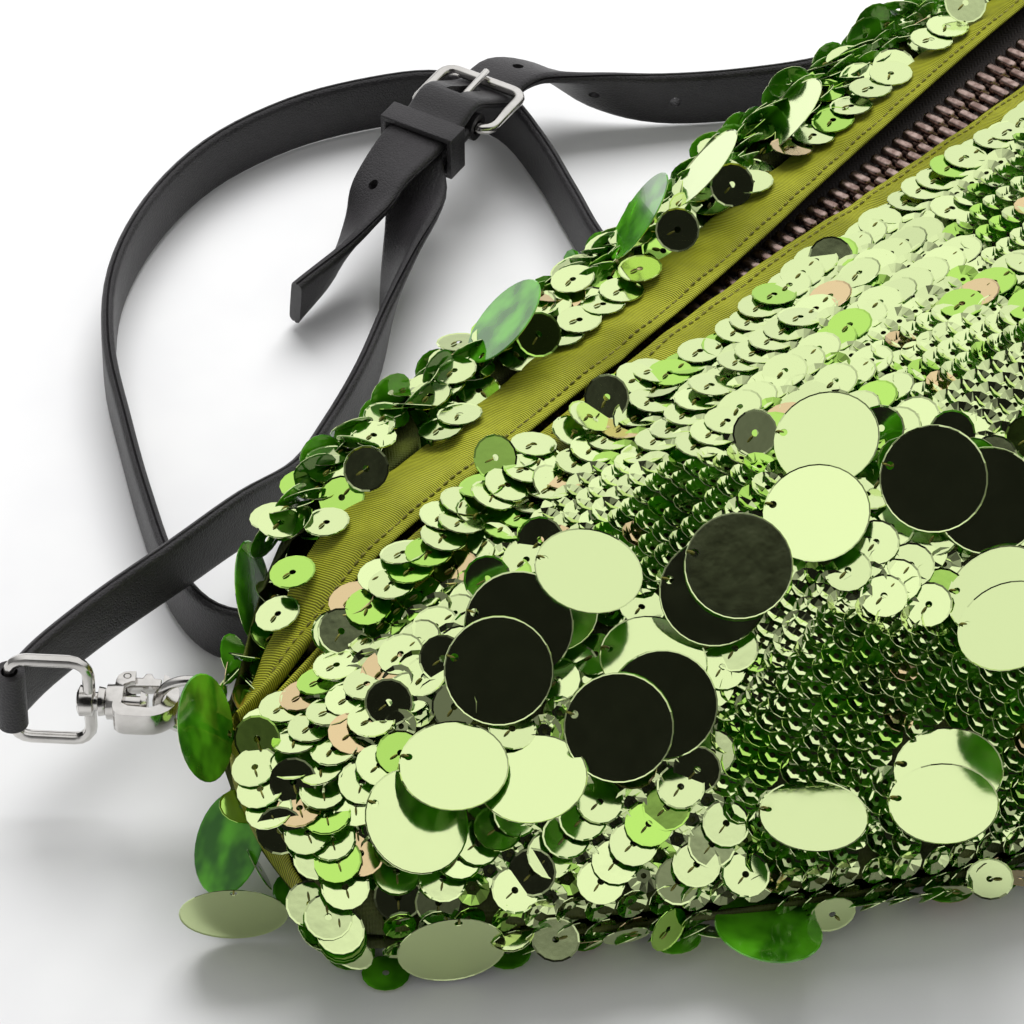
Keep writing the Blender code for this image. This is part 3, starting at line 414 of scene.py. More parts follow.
def stamped(name, base, places, *finishes):
    """A piece that holds one copy of the base mesh for each place, a 4 x 4 matrix."""
    corners = np.array([(*vert.co, 1.0) for vert in base.vertices])
    turns = np.array([np.array(place)[:3] for place in places])
    points = np.einsum("nij,vj->nvi", turns, corners).reshape(-1, 3)
    loops = [len(face.vertices) for face in base.polygons]
    order = np.array([index for face in base.polygons for index in face.vertices])
    shifts = np.arange(len(places))[:, None] * len(corners)
    mesh = bpy.data.meshes.new(name)
    mesh.vertices.add(len(points))
    mesh.vertices.foreach_set("co", points.ravel())
    mesh.loops.add(len(order) * len(places))
    mesh.loops.foreach_set("vertex_index", (order[None, :] + shifts).ravel())
    mesh.polygons.add(len(loops) * len(places))
    starts = np.concatenate(([0], np.cumsum(loops)[:-1]))
    begins = (starts[None, :] + np.arange(len(places))[:, None] * len(order)).ravel()
    mesh.polygons.foreach_set("loop_start", begins)
    kinds = [face.material_index for face in base.polygons]
    mesh.polygons.foreach_set("material_index", np.tile(kinds, len(places)))
    smooth = [face.use_smooth for face in base.polygons]
    mesh.polygons.foreach_set("use_smooth", np.tile(smooth, len(places)))
    mesh.update(calc_edges=True)
    return add_object(name, mesh, *finishes)


def placed(spot, along, out):
    """A place at spot: X along, Z as near out as it can be."""
    along = along.normalized()
    side = out.cross(along).normalized()
    up = along.cross(side)
    return Matrix.Translation(spot) @ Matrix((along, side, up)).transposed().to_4x4()


def base_shape(made):
    """Takes a modelled shape's mesh out of the scene for stamping."""
    mesh = made.data
    bpy.data.objects.remove(made)
    return mesh


stitch = shape_from(bpy.ops.mesh.primitive_uv_sphere_add, segments=6, ring_count=5, radius=0.5)
for vert in stitch.data.vertices:
    vert.co = Vector((vert.co.z, vert.co.x, vert.co.y))
    vert.co.z -= STITCH_SAG * vert.co.x**2
    vert.co = vert.co * STITCH
stitch.data.shade_smooth()
stitch = base_shape(stitch)

stitch_places = []
for name, side in (("front_band", -1), ("back_band", 1)):
    for index in range(int(2 * STITCHED_HALF / STITCH_PITCH)):
        x = -STITCHED_HALF + index * STITCH_PITCH
        ends = []
        for end_x in (x - STITCH_REACH, x + STITCH_REACH):
            over = Vector((end_x, ZIP_Y + side * (lip(end_x) + STITCH_INSET), OVERHEAD))
            ends.append(band_trees[name].ray_cast(over, DOWN))
        (start, out, *_), (end, *_) = ends
        if start is not None and end is not None:
            stitch_places.append(placed((start + end) / 2 + out * STITCH_LIFT, end - start, out))

thread, shade, shader = new_finish("olive_thread")
ply = shade.clouds(1400.0).band(0.3, 0.7)
plug(shader, "Base Color", ply.blend((0.085, 0.080, 0.006), (0.21, 0.20, 0.025)))
plug(shader, "Roughness", 0.5)
topstitching = stamped("topstitching", stitch, stitch_places, thread)
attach(topstitching, "pouch")


# Zip: two woven tapes with a corded inner edge, sewn under the band, with antique-brown metal
# teeth clamped on them, a stop at each end, and a slider that carries a slim pull.
ZIP_Z = 0.035
TOOTH_PITCH = 0.0032
TOOTH = Vector((0.00190, 0.0042, 0.0030))
TOOTH_NOSE = 0.0011
TOOTH_MIDDLE = 0.0022
TOOTH_BEVEL = 0.00062
TEETH = 59
FIRST_TOOTH = 0.00135  # from the zip's left end
TAPE_HALF_LENGTH = 0.1033
TAPE_STEPS = 60
TAPE_WAVE = 0.00012
TAPE_SECTION = [
    (0.0108, -0.0003), (0.0060, -0.0003), (0.0030, -0.0003), (0.0024, -0.0006), (0.0019, -0.0004),
    (0.0018, 0.0), (0.0019, 0.0004), (0.0024, 0.0006), (0.0030, 0.0003), (0.0060, 0.0003),
    (0.0108, 0.0003),
]

tape_cloth, shade, shader = new_finish("woven_zip_tape")
east, north = (
    shade.node("ShaderNodeSeparateXYZ", values={0: shade.place()}, output=axis) for axis in range(2)
)
zigzag = shade.maths("PINGPONG", north, 0.0009)
twill = shade.maths("SINE", (east + zigzag) * 7000.0, 0.0) * 0.5 + 0.5
plug(shader, "Base Color", twill.blend((0.006, 0.004, 0.0035), (0.016, 0.011, 0.009)))
plug(shader, "Roughness", 0.62)
rough_bump(shade, shader, twill, 0.00010, 0.5)

antique, shade, shader = new_finish("antique_brown_metal")
wear_and_sheen = shade.clouds(700.0, 5.0)
plug(shader, "Base Color", wear_and_sheen.band(0.35, 0.7).blend((0.26, 0.175, 0.150), (0.57, 0.43, 0.38)))
plug(shader, "Metallic", 1.0)
plug(shader, "Roughness", 0.20 + 0.18 * wear_and_sheen)
rough_bump(shade, shader, wear_and_sheen, 0.00003, 0.4)

tooth = shape_from(bpy.ops.mesh.primitive_cube_add, size=1.0)
tooth.data.transform(Matrix.Diagonal((*TOOTH, 1.0)))
bpy.ops.object.mode_set(mode="EDIT")
bpy.ops.mesh.select_all(action="SELECT")
bpy.ops.mesh.bevel(offset=TOOTH_BEVEL, segments=2)
bpy.ops.mesh.select_all(action="DESELECT")
bpy.ops.object.mode_set(mode="OBJECT")
for face in tooth.data.polygons:
    face.select = face.normal.y < -0.99
bpy.ops.object.mode_set(mode="EDIT")
bpy.ops.mesh.extrude_region_move(TRANSFORM_OT_translate={"value": (0, -TOOTH_NOSE, 0)})
bpy.ops.object.mode_set(mode="OBJECT")
tooth.data.shade_smooth()
tooth = base_shape(tooth)

def loft(bm, rings):
    """Faces between rings of points, in order along and around."""
    faces = []
    for ring, after in zip(rings, rings[1:]):
        for k in range(len(ring)):
            n = (k + 1) % len(ring)
            faces.append(bm.faces.new((ring[k], ring[n], after[n], after[k])))
    return faces


for name, node, side in (("front_zip", "front_zip_chain", -1), ("back_zip", "back_zip_chain", 1)):
    bm = bmesh.new()
    rings = []
    for step in range(TAPE_STEPS + 1):
        x = TAPE_HALF_LENGTH * (2 * step / TAPE_STEPS - 1)
        wave = TAPE_WAVE * math.sin(x * 210.0 + side)
        rings.append([bm.verts.new((x, ZIP_Y + side * y, ZIP_Z + z + wave)) for y, z in TAPE_SECTION])
    loft(bm, rings)
    bm.faces.new(rings[0])
    bm.faces.new(rings[-1])
    bmesh.ops.recalc_face_normals(bm, faces=bm.faces)
    mesh = bpy.data.meshes.new(name + "_tape")
    bm.to_mesh(mesh)
    bm.free()
    tape = add_object(name + "_tape", mesh, tape_cloth)
    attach(tape, "pouch")
    offset = 0.0 if side < 0 else TOOTH_PITCH / 2
    places = []
    for index in range(TEETH):
        x = -ZIP_HALF + FIRST_TOOTH + offset + index * TOOTH_PITCH
        spot = Vector((x, ZIP_Y + side * TOOTH_MIDDLE, ZIP_Z))
        places.append(placed(spot, Vector((side, 0, 0)), -DOWN))
    teeth = stamped(name + "_teeth", tooth, places, antique)
    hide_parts(node)
    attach(teeth, "pouch")


def polish(made, bevel, levels=0):
    """Breaks a metal piece's sharp edges and smooths its rounds."""
    if levels:
        modified(made, "SUBSURF", levels=levels, render_levels=levels)
    if bevel:
        sharp = math.radians(40)
        modified(made, "BEVEL", width=bevel, segments=2, limit_method="ANGLE", angle_limit=sharp)
    bpy.ops.object.shade_smooth_by_angle(angle=math.radians(35))


nickel, shade, shader = new_finish("polished_nickel")
handled = shade.clouds(240.0, 6.0)
plug(shader, "Base Color", handled.band(0.3, 0.7).blend((0.62, 0.60, 0.57), (0.74, 0.72, 0.69)))
plug(shader, "Metallic", 1.0)
plug(shader, "Roughness", 0.10 + 0.14 * handled)
rough_bump(shade, shader, handled, 0.00003, 0.25)

ZIP_METAL_EDGE = 0.00018
for name, node, finish, body in (
    ("bottom_stop_clamp", "bottom_stop", antique, "pouch"),
    ("front_top_stop_clamp", "front_top_stop", antique, "pouch"),
    ("back_top_stop_clamp", "back_top_stop", antique, "pouch"),
    ("slider_body", "zip_slider", antique, "slider"), ("slider_pull", "zip_pull", nickel, "pull"),
):
    piece = cad_copy(name, node, finish)
    polish(piece, ZIP_METAL_EDGE)
    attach(piece, body)


# Sequins: mirror-faced plastic discs, green right through, sewn on with olive thread. Faceted
# cups run in overlapping strings, flat ones in runs and along the zip, and large ones hang by a
# hole at their edge.
CUP_R = 0.0028
CUP_FLOOR_R = 0.0013  # its flat six-sided floor
CUP_HOLE_R = 0.0005
CUP_DEPTH = 0.0008
FLAT_R = 0.0040
FLAT_HOLE_R = 0.0006
FLAT_RIM = 0.92  # where its rim begins to rise, as a share of the radius
LARGE_R = 0.0090
LARGE_RIM = 0.978
SEQUIN_T = 0.00012
RIM_RISE = 0.00010
ROW_PITCH = 0.0042
CUP_STEP = 0.0031
FLAT_STEP = 0.0036
HOLE_AT = 0.0076
LARGE_HOLE_R = 0.0007

mirror, shade, shader = new_finish("green_mirror")
haze = shade.clouds(320.0)
plug(shader, "Base Color", shade.node("ShaderNodeVertexColor", {"layer_name": "tint"}))
plug(shader, "Metallic", 1.0)
plug(shader, "Roughness", 0.05 + 0.10 * haze)
rough_bump(shade, shader, haze, 0.00006, 0.35)

reverse, shade, shader = new_finish("green_reverse")
depth = shade.clouds(160.0).band(0.3, 0.7)
plug(shader, "Base Color", depth.blend((0.018, 0.12, 0.003), (0.10, 0.42, 0.012)))
plug(shader, "Roughness", 0.12)
plug(shader, "Coat Weight", 0.6)


def thicken(made):
    """Gives a modelled sequin its thickness, mirror above and reverse below."""
    made.data.materials.append(mirror)
    made.data.materials.append(reverse)
    modified(made, "SOLIDIFY", thickness=SEQUIN_T, offset=-1.0, material_offset=1)
    return base_shape(made)


def grow(scale):
    """Draws the selected ring of a sequin out into a new ring."""
    bpy.ops.mesh.extrude_region_move()
    bpy.ops.transform.resize(value=(scale, scale, 1.0))


cup = shape_from(bpy.ops.mesh.primitive_circle_add, vertices=12, radius=CUP_HOLE_R)
bpy.ops.object.mode_set(mode="EDIT")
grow(CUP_FLOOR_R / CUP_HOLE_R)
grow(CUP_R / CUP_FLOOR_R)
bpy.ops.object.mode_set(mode="OBJECT")
for vert in cup.data.vertices:
    reach = math.hypot(vert.co.x, vert.co.y)
    between_corners = round(math.atan2(vert.co.y, vert.co.x) / (math.pi / 6)) % 2
    if reach > 0.9 * CUP_R:
        vert.co.z = CUP_DEPTH
    elif reach > 0.9 * CUP_FLOOR_R and between_corners:
        vert.co *= math.cos(math.pi / 6)
cup = thicken(cup)

flat = shape_from(bpy.ops.mesh.primitive_circle_add, vertices=16, radius=FLAT_HOLE_R)
bpy.ops.object.mode_set(mode="EDIT")
grow(FLAT_RIM * FLAT_R / FLAT_HOLE_R)
grow(1 / FLAT_RIM)
bpy.ops.object.mode_set(mode="OBJECT")
for vert in flat.data.vertices:
    if math.hypot(vert.co.x, vert.co.y) > 0.96 * FLAT_R:
        vert.co.z = RIM_RISE
flat = thicken(flat)

large = shape_from(bpy.ops.mesh.primitive_circle_add, vertices=32, radius=LARGE_R)
bpy.ops.object.mode_set(mode="EDIT")
grow(LARGE_RIM)
bpy.ops.mesh.primitive_circle_add(vertices=10, radius=LARGE_HOLE_R, location=(HOLE_AT, 0, 0))
bpy.ops.object.mode_set(mode="OBJECT")
for vert in large.data.vertices:
    vert.select = math.hypot(vert.co.x, vert.co.y) < 0.99 * LARGE_R
    if not vert.select:
        vert.co.z = 1.3 * RIM_RISE
bpy.ops.object.mode_set(mode="EDIT")
bpy.ops.mesh.fill()
bpy.ops.mesh.select_all(action="SELECT")
bpy.ops.mesh.normals_make_consistent(inside=False)
bpy.ops.object.mode_set(mode="OBJECT")
if large.data.polygons[0].normal.z < 0:
    large.data.flip_normals()
large = thicken(large)

# The front's cloth measured from the zip edge downwards, in columns across the pouch.
front_tree, back_tree = tree_of(front_cloth), tree_of(back_cloth)
COLUMN_STEP = 0.004
COLUMNS, COLUMNS_HALF = 79, 0.156
COLUMN_START = 0.003  # from the zip line
WALK, WALKS = 0.0005, 300  # the steps in which cloth is measured and strings are laid
column_xs = [index * COLUMN_STEP - COLUMNS_HALF for index in range(COLUMNS)]
columns = []
for x in column_xs:
    spots = []
    for step in range(WALKS):
        over = Vector((x, ZIP_Y - COLUMN_START - step * WALK, OVERHEAD))
        hit = front_tree.ray_cast(over, DOWN)[0]
        if hit is not None:
            spots.append(hit)
    arcs = [0.0]
    for before, after in zip(spots, spots[1:]):
        arcs.append(arcs[-1] + (after - before).length)
    columns.append((arcs, [spot.y for spot in spots]) if len(spots) > 3 else None)


def from_zip(x, run):
    """The point and slope of the front's cloth at x, run metres down from the zip edge."""
    place = (x - column_xs[0]) / COLUMN_STEP
    index = int(place)
    found = [columns[k] for k in (index, index + 1)]
    if None in found or max(run - pair[0][-1] for pair in found) > 0:
        return None, None
    ys = [np.interp(run, *pair) for pair in found]
    share = place - index
    over = Vector((x, ys[0] * (1 - share) + ys[1] * share, OVERHEAD))
    return front_tree.ray_cast(over, DOWN)[:2]


def sequin_tint(amber, deep):
    """Mostly pale yellow-green, with a share of amber and a share of deep green."""
    draw = random.random()
    light = random.uniform(0.84, 1.0)
    if draw < amber:
        colour = (0.80, 0.62, 0.34)
    elif draw < 1.0 - deep:
        colour = (0.80, 0.94, 0.47)
    else:
        colour = (0.50, 0.82, 0.16)
    return [light * channel for channel in colour] + [1.0]


def tipped(along, out, lean, roll):
    """The way a sequin faces, leant back along its string and rolled by degrees (mean, spread)."""
    lean, roll = random.gauss(*lean), random.gauss(*roll)
    side = out.cross(along).normalized()
    normal = Matrix.Rotation(math.radians(lean), 3, side) @ out
    return Matrix.Rotation(math.radians(roll), 3, along.normalized()) @ normal


LAMP_HALF = (camera_back + SKY_BRIGHT).normalized()


def mirrored_lamp(normal):
    """How near the lamp the camera's view off this normal ends."""
    return (2 * normal.dot(camera_back) * normal - camera_back).dot(SKY_BRIGHT)


def kept_pale(normal):
    """Leans a sequin towards the lamp, within reason, where it would mirror the dim room."""
    wanted = random.uniform(0.60, 0.88)
    for step in range(14):
        if mirrored_lamp(normal) < wanted:
            normal = (normal + 0.16 * LAMP_HALF).normalized()
    return normal


def kept_dark(most):
    """Faces a sequin to the dim room behind the camera, up to a share off it."""
    off = Vector((random.uniform(-1, 1), random.uniform(-1, 1), 0))
    return (camera_back + most * off).normalized()


# Large sequins that show in the picture: right and down, long and short axis in picture points,
# the long axis's angle, and what the disc mirrors: the lamp (1), the table (2), the dim room (0)
# or, with a lean below 1, its edge. At -1 its reverse shows. Those that lie over others come later.
SEEN_ON_FRONT = [
    (418, 820, 108, 90, 80, 1), (534, 778, 104, 82, 10, 1), (455, 765, 106, 85, 0, 1),
    (545, 612, 106, 80, 0, 1), (520, 625, 106, 100, 0, 0), (500, 670, 106, 102, 0, 0),
    (590, 570, 106, 80, -15, 1), (655, 660, 106, 85, -15, 1), (664, 704, 100, 84, -15, 0),
    (620, 727, 108, 104, 0, 0),
    (828, 438, 106, 92, 20, 1), (818, 512, 108, 98, 20, 1), (715, 592, 106, 100, 0, 0.20),
    (740, 565, 106, 100, 0, 0.225), (990, 500, 110, 104, 0, 0), (935, 478, 112, 108, 0, 0),
    (1000, 590, 106, 80, 30, 1), (1012, 625, 106, 80, 30, 1), (815, 815, 112, 70, -5, 1),
    (950, 770, 110, 86, 0, 1), (945, 803, 112, 80, 0, 1),
]
SEEN_BEHIND = [
    (255, 592, 95, 28, 97, -1), (303, 572, 100, 34, 80, 1), (400, 455, 98, 50, 58, 1),
    (505, 320, 104, 44, 50, -1), (640, 215, 70, 26, 58, -1), (705, 168, 100, 28, 50, 1),
    (788, 116, 104, 36, 48, 1),
]
SEEN_BELOW = [(453, 953, 106, 62, 8, 2), (770, 928, 106, 60, -12, -1), (235, 916, 90, 44, 0, 2)]
SEEN_AT_TIP = [(207, 727, 98, 46, 95, -1), (230, 842, 106, 66, 75, -1)]
TIP_HEIGHTS = (0.0305, 0.0120)  # where those two hang over the table
BELOW_HEIGHT = 0.0085
BEHIND_ZIP = 0.0205
DISC_POINTS = 2 * LARGE_R * FOCAL_POINTS / EYE.length
DISC_LIFT = 0.0024
DISC_GAP = 0.0004
DISC_STEP = 0.0008
RIM_STEPS = 32
NEAREST = 0.9  # no disc comes nearer to the camera
EDGE_OF_ROOM = 0.24  # a disc that leans this far from the camera mirrors the dim room's edge


def picture_ray(right, down):
    across = camera_right * (right - PICTURE_MIDDLE) - camera_up * (down - PICTURE_MIDDLE)
    return (across - camera_back * FOCAL_POINTS).normalized()


def disc_normal(ray, long_axis, short_axis, angle, mirrors):
    """The way a disc faces that gives its outline in the picture and mirrors light or dark."""
    if 0 <= mirrors < 1:
        sway = max(0.0, EDGE_OF_ROOM - mirrors) * noise.noise_vector(ray * 28.0)
        return (camera_back + mirrors * camera_up + sway).normalized()
    narrow = min(0.97, short_axis / max(long_axis, 0.9 * DISC_POINTS))
    turn = math.radians(angle + 90)
    lean = (camera_right * math.cos(turn) + camera_up * math.sin(turn)) * math.sqrt(1 - narrow**2)
    ways = [(-ray * narrow + lean).normalized(), (-ray * narrow - lean).normalized()]
    ways.sort(key=mirrored_lamp)
    if mirrors == 2:
        return ways[0]
    if mirrors < 0:
        return -ways[1]
    return kept_pale(ways[1]) if narrow > 0.6 else ways[1]


def behind_disc(disc, spot):
    """How far spot is behind a large sequin, seen from the camera, or None outside its outline."""
    ray = (spot - EYE).normalized()
    depth = (disc.translation - EYE).dot(disc.col[2].xyz) / ray.dot(disc.col[2].xyz)
    if (EYE + ray * depth - disc.translation).length > LARGE_R:
        return None
    return (spot - EYE).length - depth


def clears(place, discs):
    """Whether a large sequin lies in front of all the earlier ones that it covers."""
    for disc in discs:
        for step in range(RIM_STEPS):
            around = math.tau * step / RIM_STEPS
            for reach in (0.3, 0.6, 0.85, 1.02):
                rim = Vector((math.cos(around), math.sin(around), 0)) * LARGE_R * reach
                depth = behind_disc(disc, place @ rim)
                if depth is not None and depth > -DISC_GAP:
                    return False
    return True


LOWEST, HIGHEST = 0.0006, 0.0635  # sequins stay off the table, and the back's rim is this high
KNOT_LIFT = 0.0003
large_places, thread_places = [], []


def hang(spot, normal, towards):
    """One large sequin, its hole towards a direction, with the stitch that holds it."""
    along = (towards - normal * towards.dot(normal)).normalized()
    drop = LARGE_R * math.sqrt(max(0.0, 1.0 - normal.z**2))
    spot = Vector((spot.x, spot.y, min(max(spot.z, LOWEST + drop), HIGHEST - drop)))
    place = placed(spot, along, normal)
    large_places.append(place)
    knot = Matrix.Translation((HOLE_AT + 0.0006, 0, KNOT_LIFT)) @ Matrix.Diagonal((1.0, 0.8, 0.8, 1.0))
    thread_places.append(place @ knot)


def over_earlier(spot, ray, normal):
    """Moves a disc towards the camera until it lies over the earlier ones."""
    while not clears(placed(spot, camera_right, normal), large_places[-6:]):
        spot = spot - ray * DISC_STEP
        if (spot - EYE).length < NEAREST:
            break
    return spot


for right, down, *outline in SEEN_ON_FRONT:
    ray = picture_ray(right, down)
    spot, out, *_ = front_tree.ray_cast(EYE, ray)
    normal = disc_normal(ray, *outline)
    lift = DISC_LIFT + 0.80 * LARGE_R * math.sin(min(1.2, normal.angle(out)))
    spot = over_earlier(spot - ray * lift / max(0.5, -out.dot(ray)), ray, normal)
    hang(spot, normal, camera_up * 0.3 - camera_right)
for right, down, *outline in SEEN_BEHIND:
    ray = picture_ray(right, down)
    spot = EYE + ray * ((ZIP_Y + BEHIND_ZIP - EYE.y) / ray.y)
    hang(spot, disc_normal(ray, *outline), -camera_up)
low_heights = (BELOW_HEIGHT,) * len(SEEN_BELOW) + TIP_HEIGHTS
for (right, down, *outline), height in zip(SEEN_BELOW + SEEN_AT_TIP, low_heights):
    ray = picture_ray(right, down)
    spot = EYE + ray * ((height - EYE.z) / ray.z)
    hang(spot, disc_normal(ray, *outline), camera_up if height == BELOW_HEIGHT else camera_right)

# More large sequins on the right of the front, which the picture leaves out.
OUT_OF_PICTURE = 1090
UNSEEN_LIFT = 0.0042
for attempt in range(90):
    x, run = random.uniform(-0.04, 0.145), random.uniform(0.006, 0.12)
    turn = random.uniform(0, math.tau)
    spot, out = from_zip(x, run)
    if spot is None:
        continue
    offset = spot - EYE
    seen_at = PICTURE_MIDDLE + FOCAL_POINTS * offset.dot(camera_right) / -offset.dot(camera_back)
    crowded = any((place.translation - spot).length < 2 * LARGE_R for place in large_places)
    if seen_at < OUT_OF_PICTURE or crowded:
        continue
    way = Vector((math.cos(turn), math.sin(turn), 0))
    hang(spot + out * UNSEEN_LIFT, tipped(way, out, (0, 10), (0, 10)), way)

# Where the picture shows patches of flat sequins (1) and of cups (-1).
PATCHES = [
    (705, 640, 1), (690, 420, 1), (930, 230, 1), (600, 885, 1), (310, 800, 1), (900, 600, 1),
    (1000, 170, 1), (1000, 290, 1), (870, 300, 1),
    (910, 690, -1), (415, 690, 1), (670, 520, -1), (960, 380, -1), (800, 720, -1),
]
PATCH_R, PATCH_PULL = 0.012, 0.6
patches = [(front_tree.ray_cast(EYE, picture_ray(*patch[:2]))[0], patch[2]) for patch in PATCHES]
COVER_REACH, COVER_DEPTH = 0.016, 0.0046
cup_places, flat_places = [], []
seen_discs = large_places[: len(SEEN_ON_FRONT + SEEN_BEHIND + SEEN_BELOW)]


def covered(spot):
    """Whether a small sequin at spot would come through a large one."""
    for disc in seen_discs:
        if (disc.translation - spot).length < COVER_REACH:
            depth = behind_disc(disc, spot)
            if depth is not None and depth < COVER_DEPTH:
                return True
    return False


def sew_flat(spot, along, normal, out, lift):
    """One flat sequin and its stitch, lifted until its edge is clear of the cloth."""
    spot = spot + out * (lift + 0.85 * FLAT_R * math.sin(min(1.4, normal.angle(out))))
    drop = FLAT_R * math.sqrt(max(0.0, 1.0 - normal.z**2))
    spot.z = min(max(spot.z, LOWEST + drop), HIGHEST - drop)
    if covered(spot):
        return
    place = placed(spot, along - normal * along.dot(normal), normal)
    flat_places.append(place)
    knot = Matrix.Translation((-0.0013, 0, KNOT_LIFT)) @ Matrix.Diagonal((1.1, 0.7, 0.7, 1.0))
    thread_places.append(place @ knot)


def sew_cup(spot, along, normal, out, lift):
    spot = spot + out * (lift + 0.6 * CUP_R * math.sin(min(1.4, normal.angle(out))))
    spot.z = max(spot.z, LOWEST + CUP_R)
    if not covered(spot):
        cup_places.append(placed(spot, along - normal * along.dot(normal), normal))


# Strings of small sequins, each string a row that follows the zip edge and sways. Flat ones come
# in patches and at the left tip, with a string of cups between two strings of flats.
STRINGS, STRING_HALF = 44, 0.1555
FIRST_STRING, LEAST_RUN = 0.0012, 0.0008  # from the zip edge
SWAY, SMALL_SWAY = 0.0170, 0.0014
BARED = 0.0026  # how much more of the band shows at the right
TIP_FROM, TIP_AT, TIP_PULL = -0.098, -0.118, 0.40
FLAT_ABOVE = 0.10
DARK_SHARE = 0.18
for row in range(STRINGS):
    last, x = None, -STRING_HALF
    while x < STRING_HALF:
        sway = SWAY * noise.noise(Vector((x * 9.0, row * 0.05, 3.0)))
        sway += SMALL_SWAY * noise.noise(Vector((x * 60.0, row * 0.32, 8.0)))
        run = max(LEAST_RUN, FIRST_STRING + row * ROW_PITCH + sway * min(1.0, row / 6))
        spot, out = from_zip(x, run + BARED * share_of(x, 0.0, 0.05))
        x += WALK
        if spot is None:
            continue
        kind_here = noise.noise(Vector((x * 24.0, spot.y * 24.0, 5.5)))
        kind_here += TIP_PULL * share_of(x, TIP_FROM, TIP_AT)
        for heart, kind in patches:
            kind_here += PATCH_PULL * kind * math.exp(-(((spot - heart).length / PATCH_R) ** 2))
        flat_here = kind_here > FLAT_ABOVE or row == 0
        if last is None:
            last = spot
            continue
        along = spot - last
        if along.length < (FLAT_STEP if flat_here else CUP_STEP):
            continue
        swing = noise.noise(Vector((x * 30.0, spot.y * 30.0, 1.5)))
        if flat_here and row % 2:
            normal = tipped(along, out, (-8, 2), (6, 2))
            sew_cup(spot, along, normal, out, 0.0002)
        elif flat_here:
            lean = 14 if swing > -0.15 else -11
            normal = kept_pale(tipped(along, out, (lean, 4), (12 * swing, 6)))
            if random.random() < DARK_SHARE and camera_back.angle(out) < 0.95:
                normal = kept_dark(0.30)
            sew_flat(spot, along, normal, out, 0.0007 + random.random() * 0.0005)
        else:
            drift = 3.0 * noise.noise(Vector((x * 8.0, row * 0.45, 9.5)))
            level = share_of(out.z, 0.80, 0.92) * (0.3 + 0.5 * min(1.0, max(-1.0, drift)))
            normal = tipped(along, out, (15 - 28 * level, 2), (9 + 9 * swing, 2))
            normal = (normal + 0.2 * LAMP_HALF).normalized()
            sew_cup(spot, along, normal, out, 0.0004)
        last = spot

# Along the zip, flat sequins lie over the edge of the front band, which they nearly hide at the
# left, and over the back band's.
FRONT_BAND, BACK_BAND = 0.0132, 0.0145  # how far the bands reach from the zip line
CORNER_X = 0.140
BAND_TAPER = 0.7
ON_BAND_HALF = 0.118
for tree, side, width, inset, step, share, last_x in (
    ("front_band", -1, FRONT_BAND, 0.0008, 0.0044, 0.9, 0.004),
    ("front_band", -1, FRONT_BAND, 0.0050, 0.0044, 0.9, -0.03716),
    ("front_band", -1, FRONT_BAND, 0.0082, 0.0046, 0.8, -0.06852),
    ("back_band", 1, BACK_BAND, 0.0012, 0.0056, 0.7, ON_BAND_HALF),
):
    x = -ON_BAND_HALF
    while x < last_x:
        taper = BAND_TAPER * eased(abs(x), ZIP_HALF, CORNER_X)
        reach = width * (1 - taper) - inset * (1 - 0.6 * share_of(abs(x), ZIP_HALF, CORNER_X))
        over = Vector((x, ZIP_Y + side * reach, OVERHEAD))
        spot, out, *_ = band_trees[tree].ray_cast(over, DOWN)
        if spot is not None and random.random() < share:
            along = Vector((1, random.uniform(-0.4, 0.4), 0))
            normal = tipped(along, out, (13, 5), (0, 8))
            normal = kept_dark(0.35) if random.random() < 0.12 else kept_pale(normal)
            sew_flat(spot, along, normal, out, 0.0005 + random.random() * 0.0006)
        x += step * random.uniform(0.85, 1.15)

# Down the front edge of each tip's strip, flat sequins hide it.
STRIP_REACHES = (-0.003, 0.0010)
for tip_strip, way in (("left_tip_strip", -1), ("right_tip_strip", 1)):
    edge = sorted((vert.co for vert in bpy.data.objects[tip_strip].data.vertices), key=lambda co: co.z)
    for step in range(4):
        height = edge[0].z + (edge[-1].z - edge[0].z) * step / 10
        spot = min((co for co in edge if abs(co.z - height) < 0.003), key=lambda co: co.y).copy()
        out = Vector((way * 0.75, -0.55, 0.35)).normalized()
        for reach in STRIP_REACHES:
            normal = kept_pale(tipped(DOWN, out, (10, 5), (0, 9)))
            shifted = spot + Vector((0, reach, random.uniform(-0.0008, 0.0008)))
            sew_flat(shifted, DOWN, normal, out, 0.0008)

# The lower edge, where the last strings stand out past the seam, each at its own height.
SEAM_Z = 0.0110
EDGE_FROM, EDGE_WALKS = -0.1535, 620
SEAM_ALLOWANCE = 0.0012
for rise, spread in ((0.0034, -0.0004), (-0.0004, 0.0002), (-0.0042, -0.0008)):
    last = None
    for index in range(EDGE_WALKS):
        x = EDGE_FROM + index * WALK
        ends = columns[int(round((x - column_xs[0]) / COLUMN_STEP))]
        spot, out = from_zip(x, ends[0][-1] - SEAM_ALLOWANCE) if ends else (None, None)
        if spot is None:
            continue
        if last is None:
            last = spot
        along = spot - last
        if along.length < CUP_STEP:
            continue
        outward = Vector((out.x, out.y, 0)).normalized()
        sewn_at = Vector((spot.x, spot.y, SEAM_Z + rise)) + outward * spread
        leaning = (outward + Vector((0, 0, -0.15 + 120 * rise))).normalized()
        normal = tipped(along, leaning, (16, 2), (9, 2))
        sew_cup(sewn_at, along, normal, leaning, 0.0004)
        last = spot

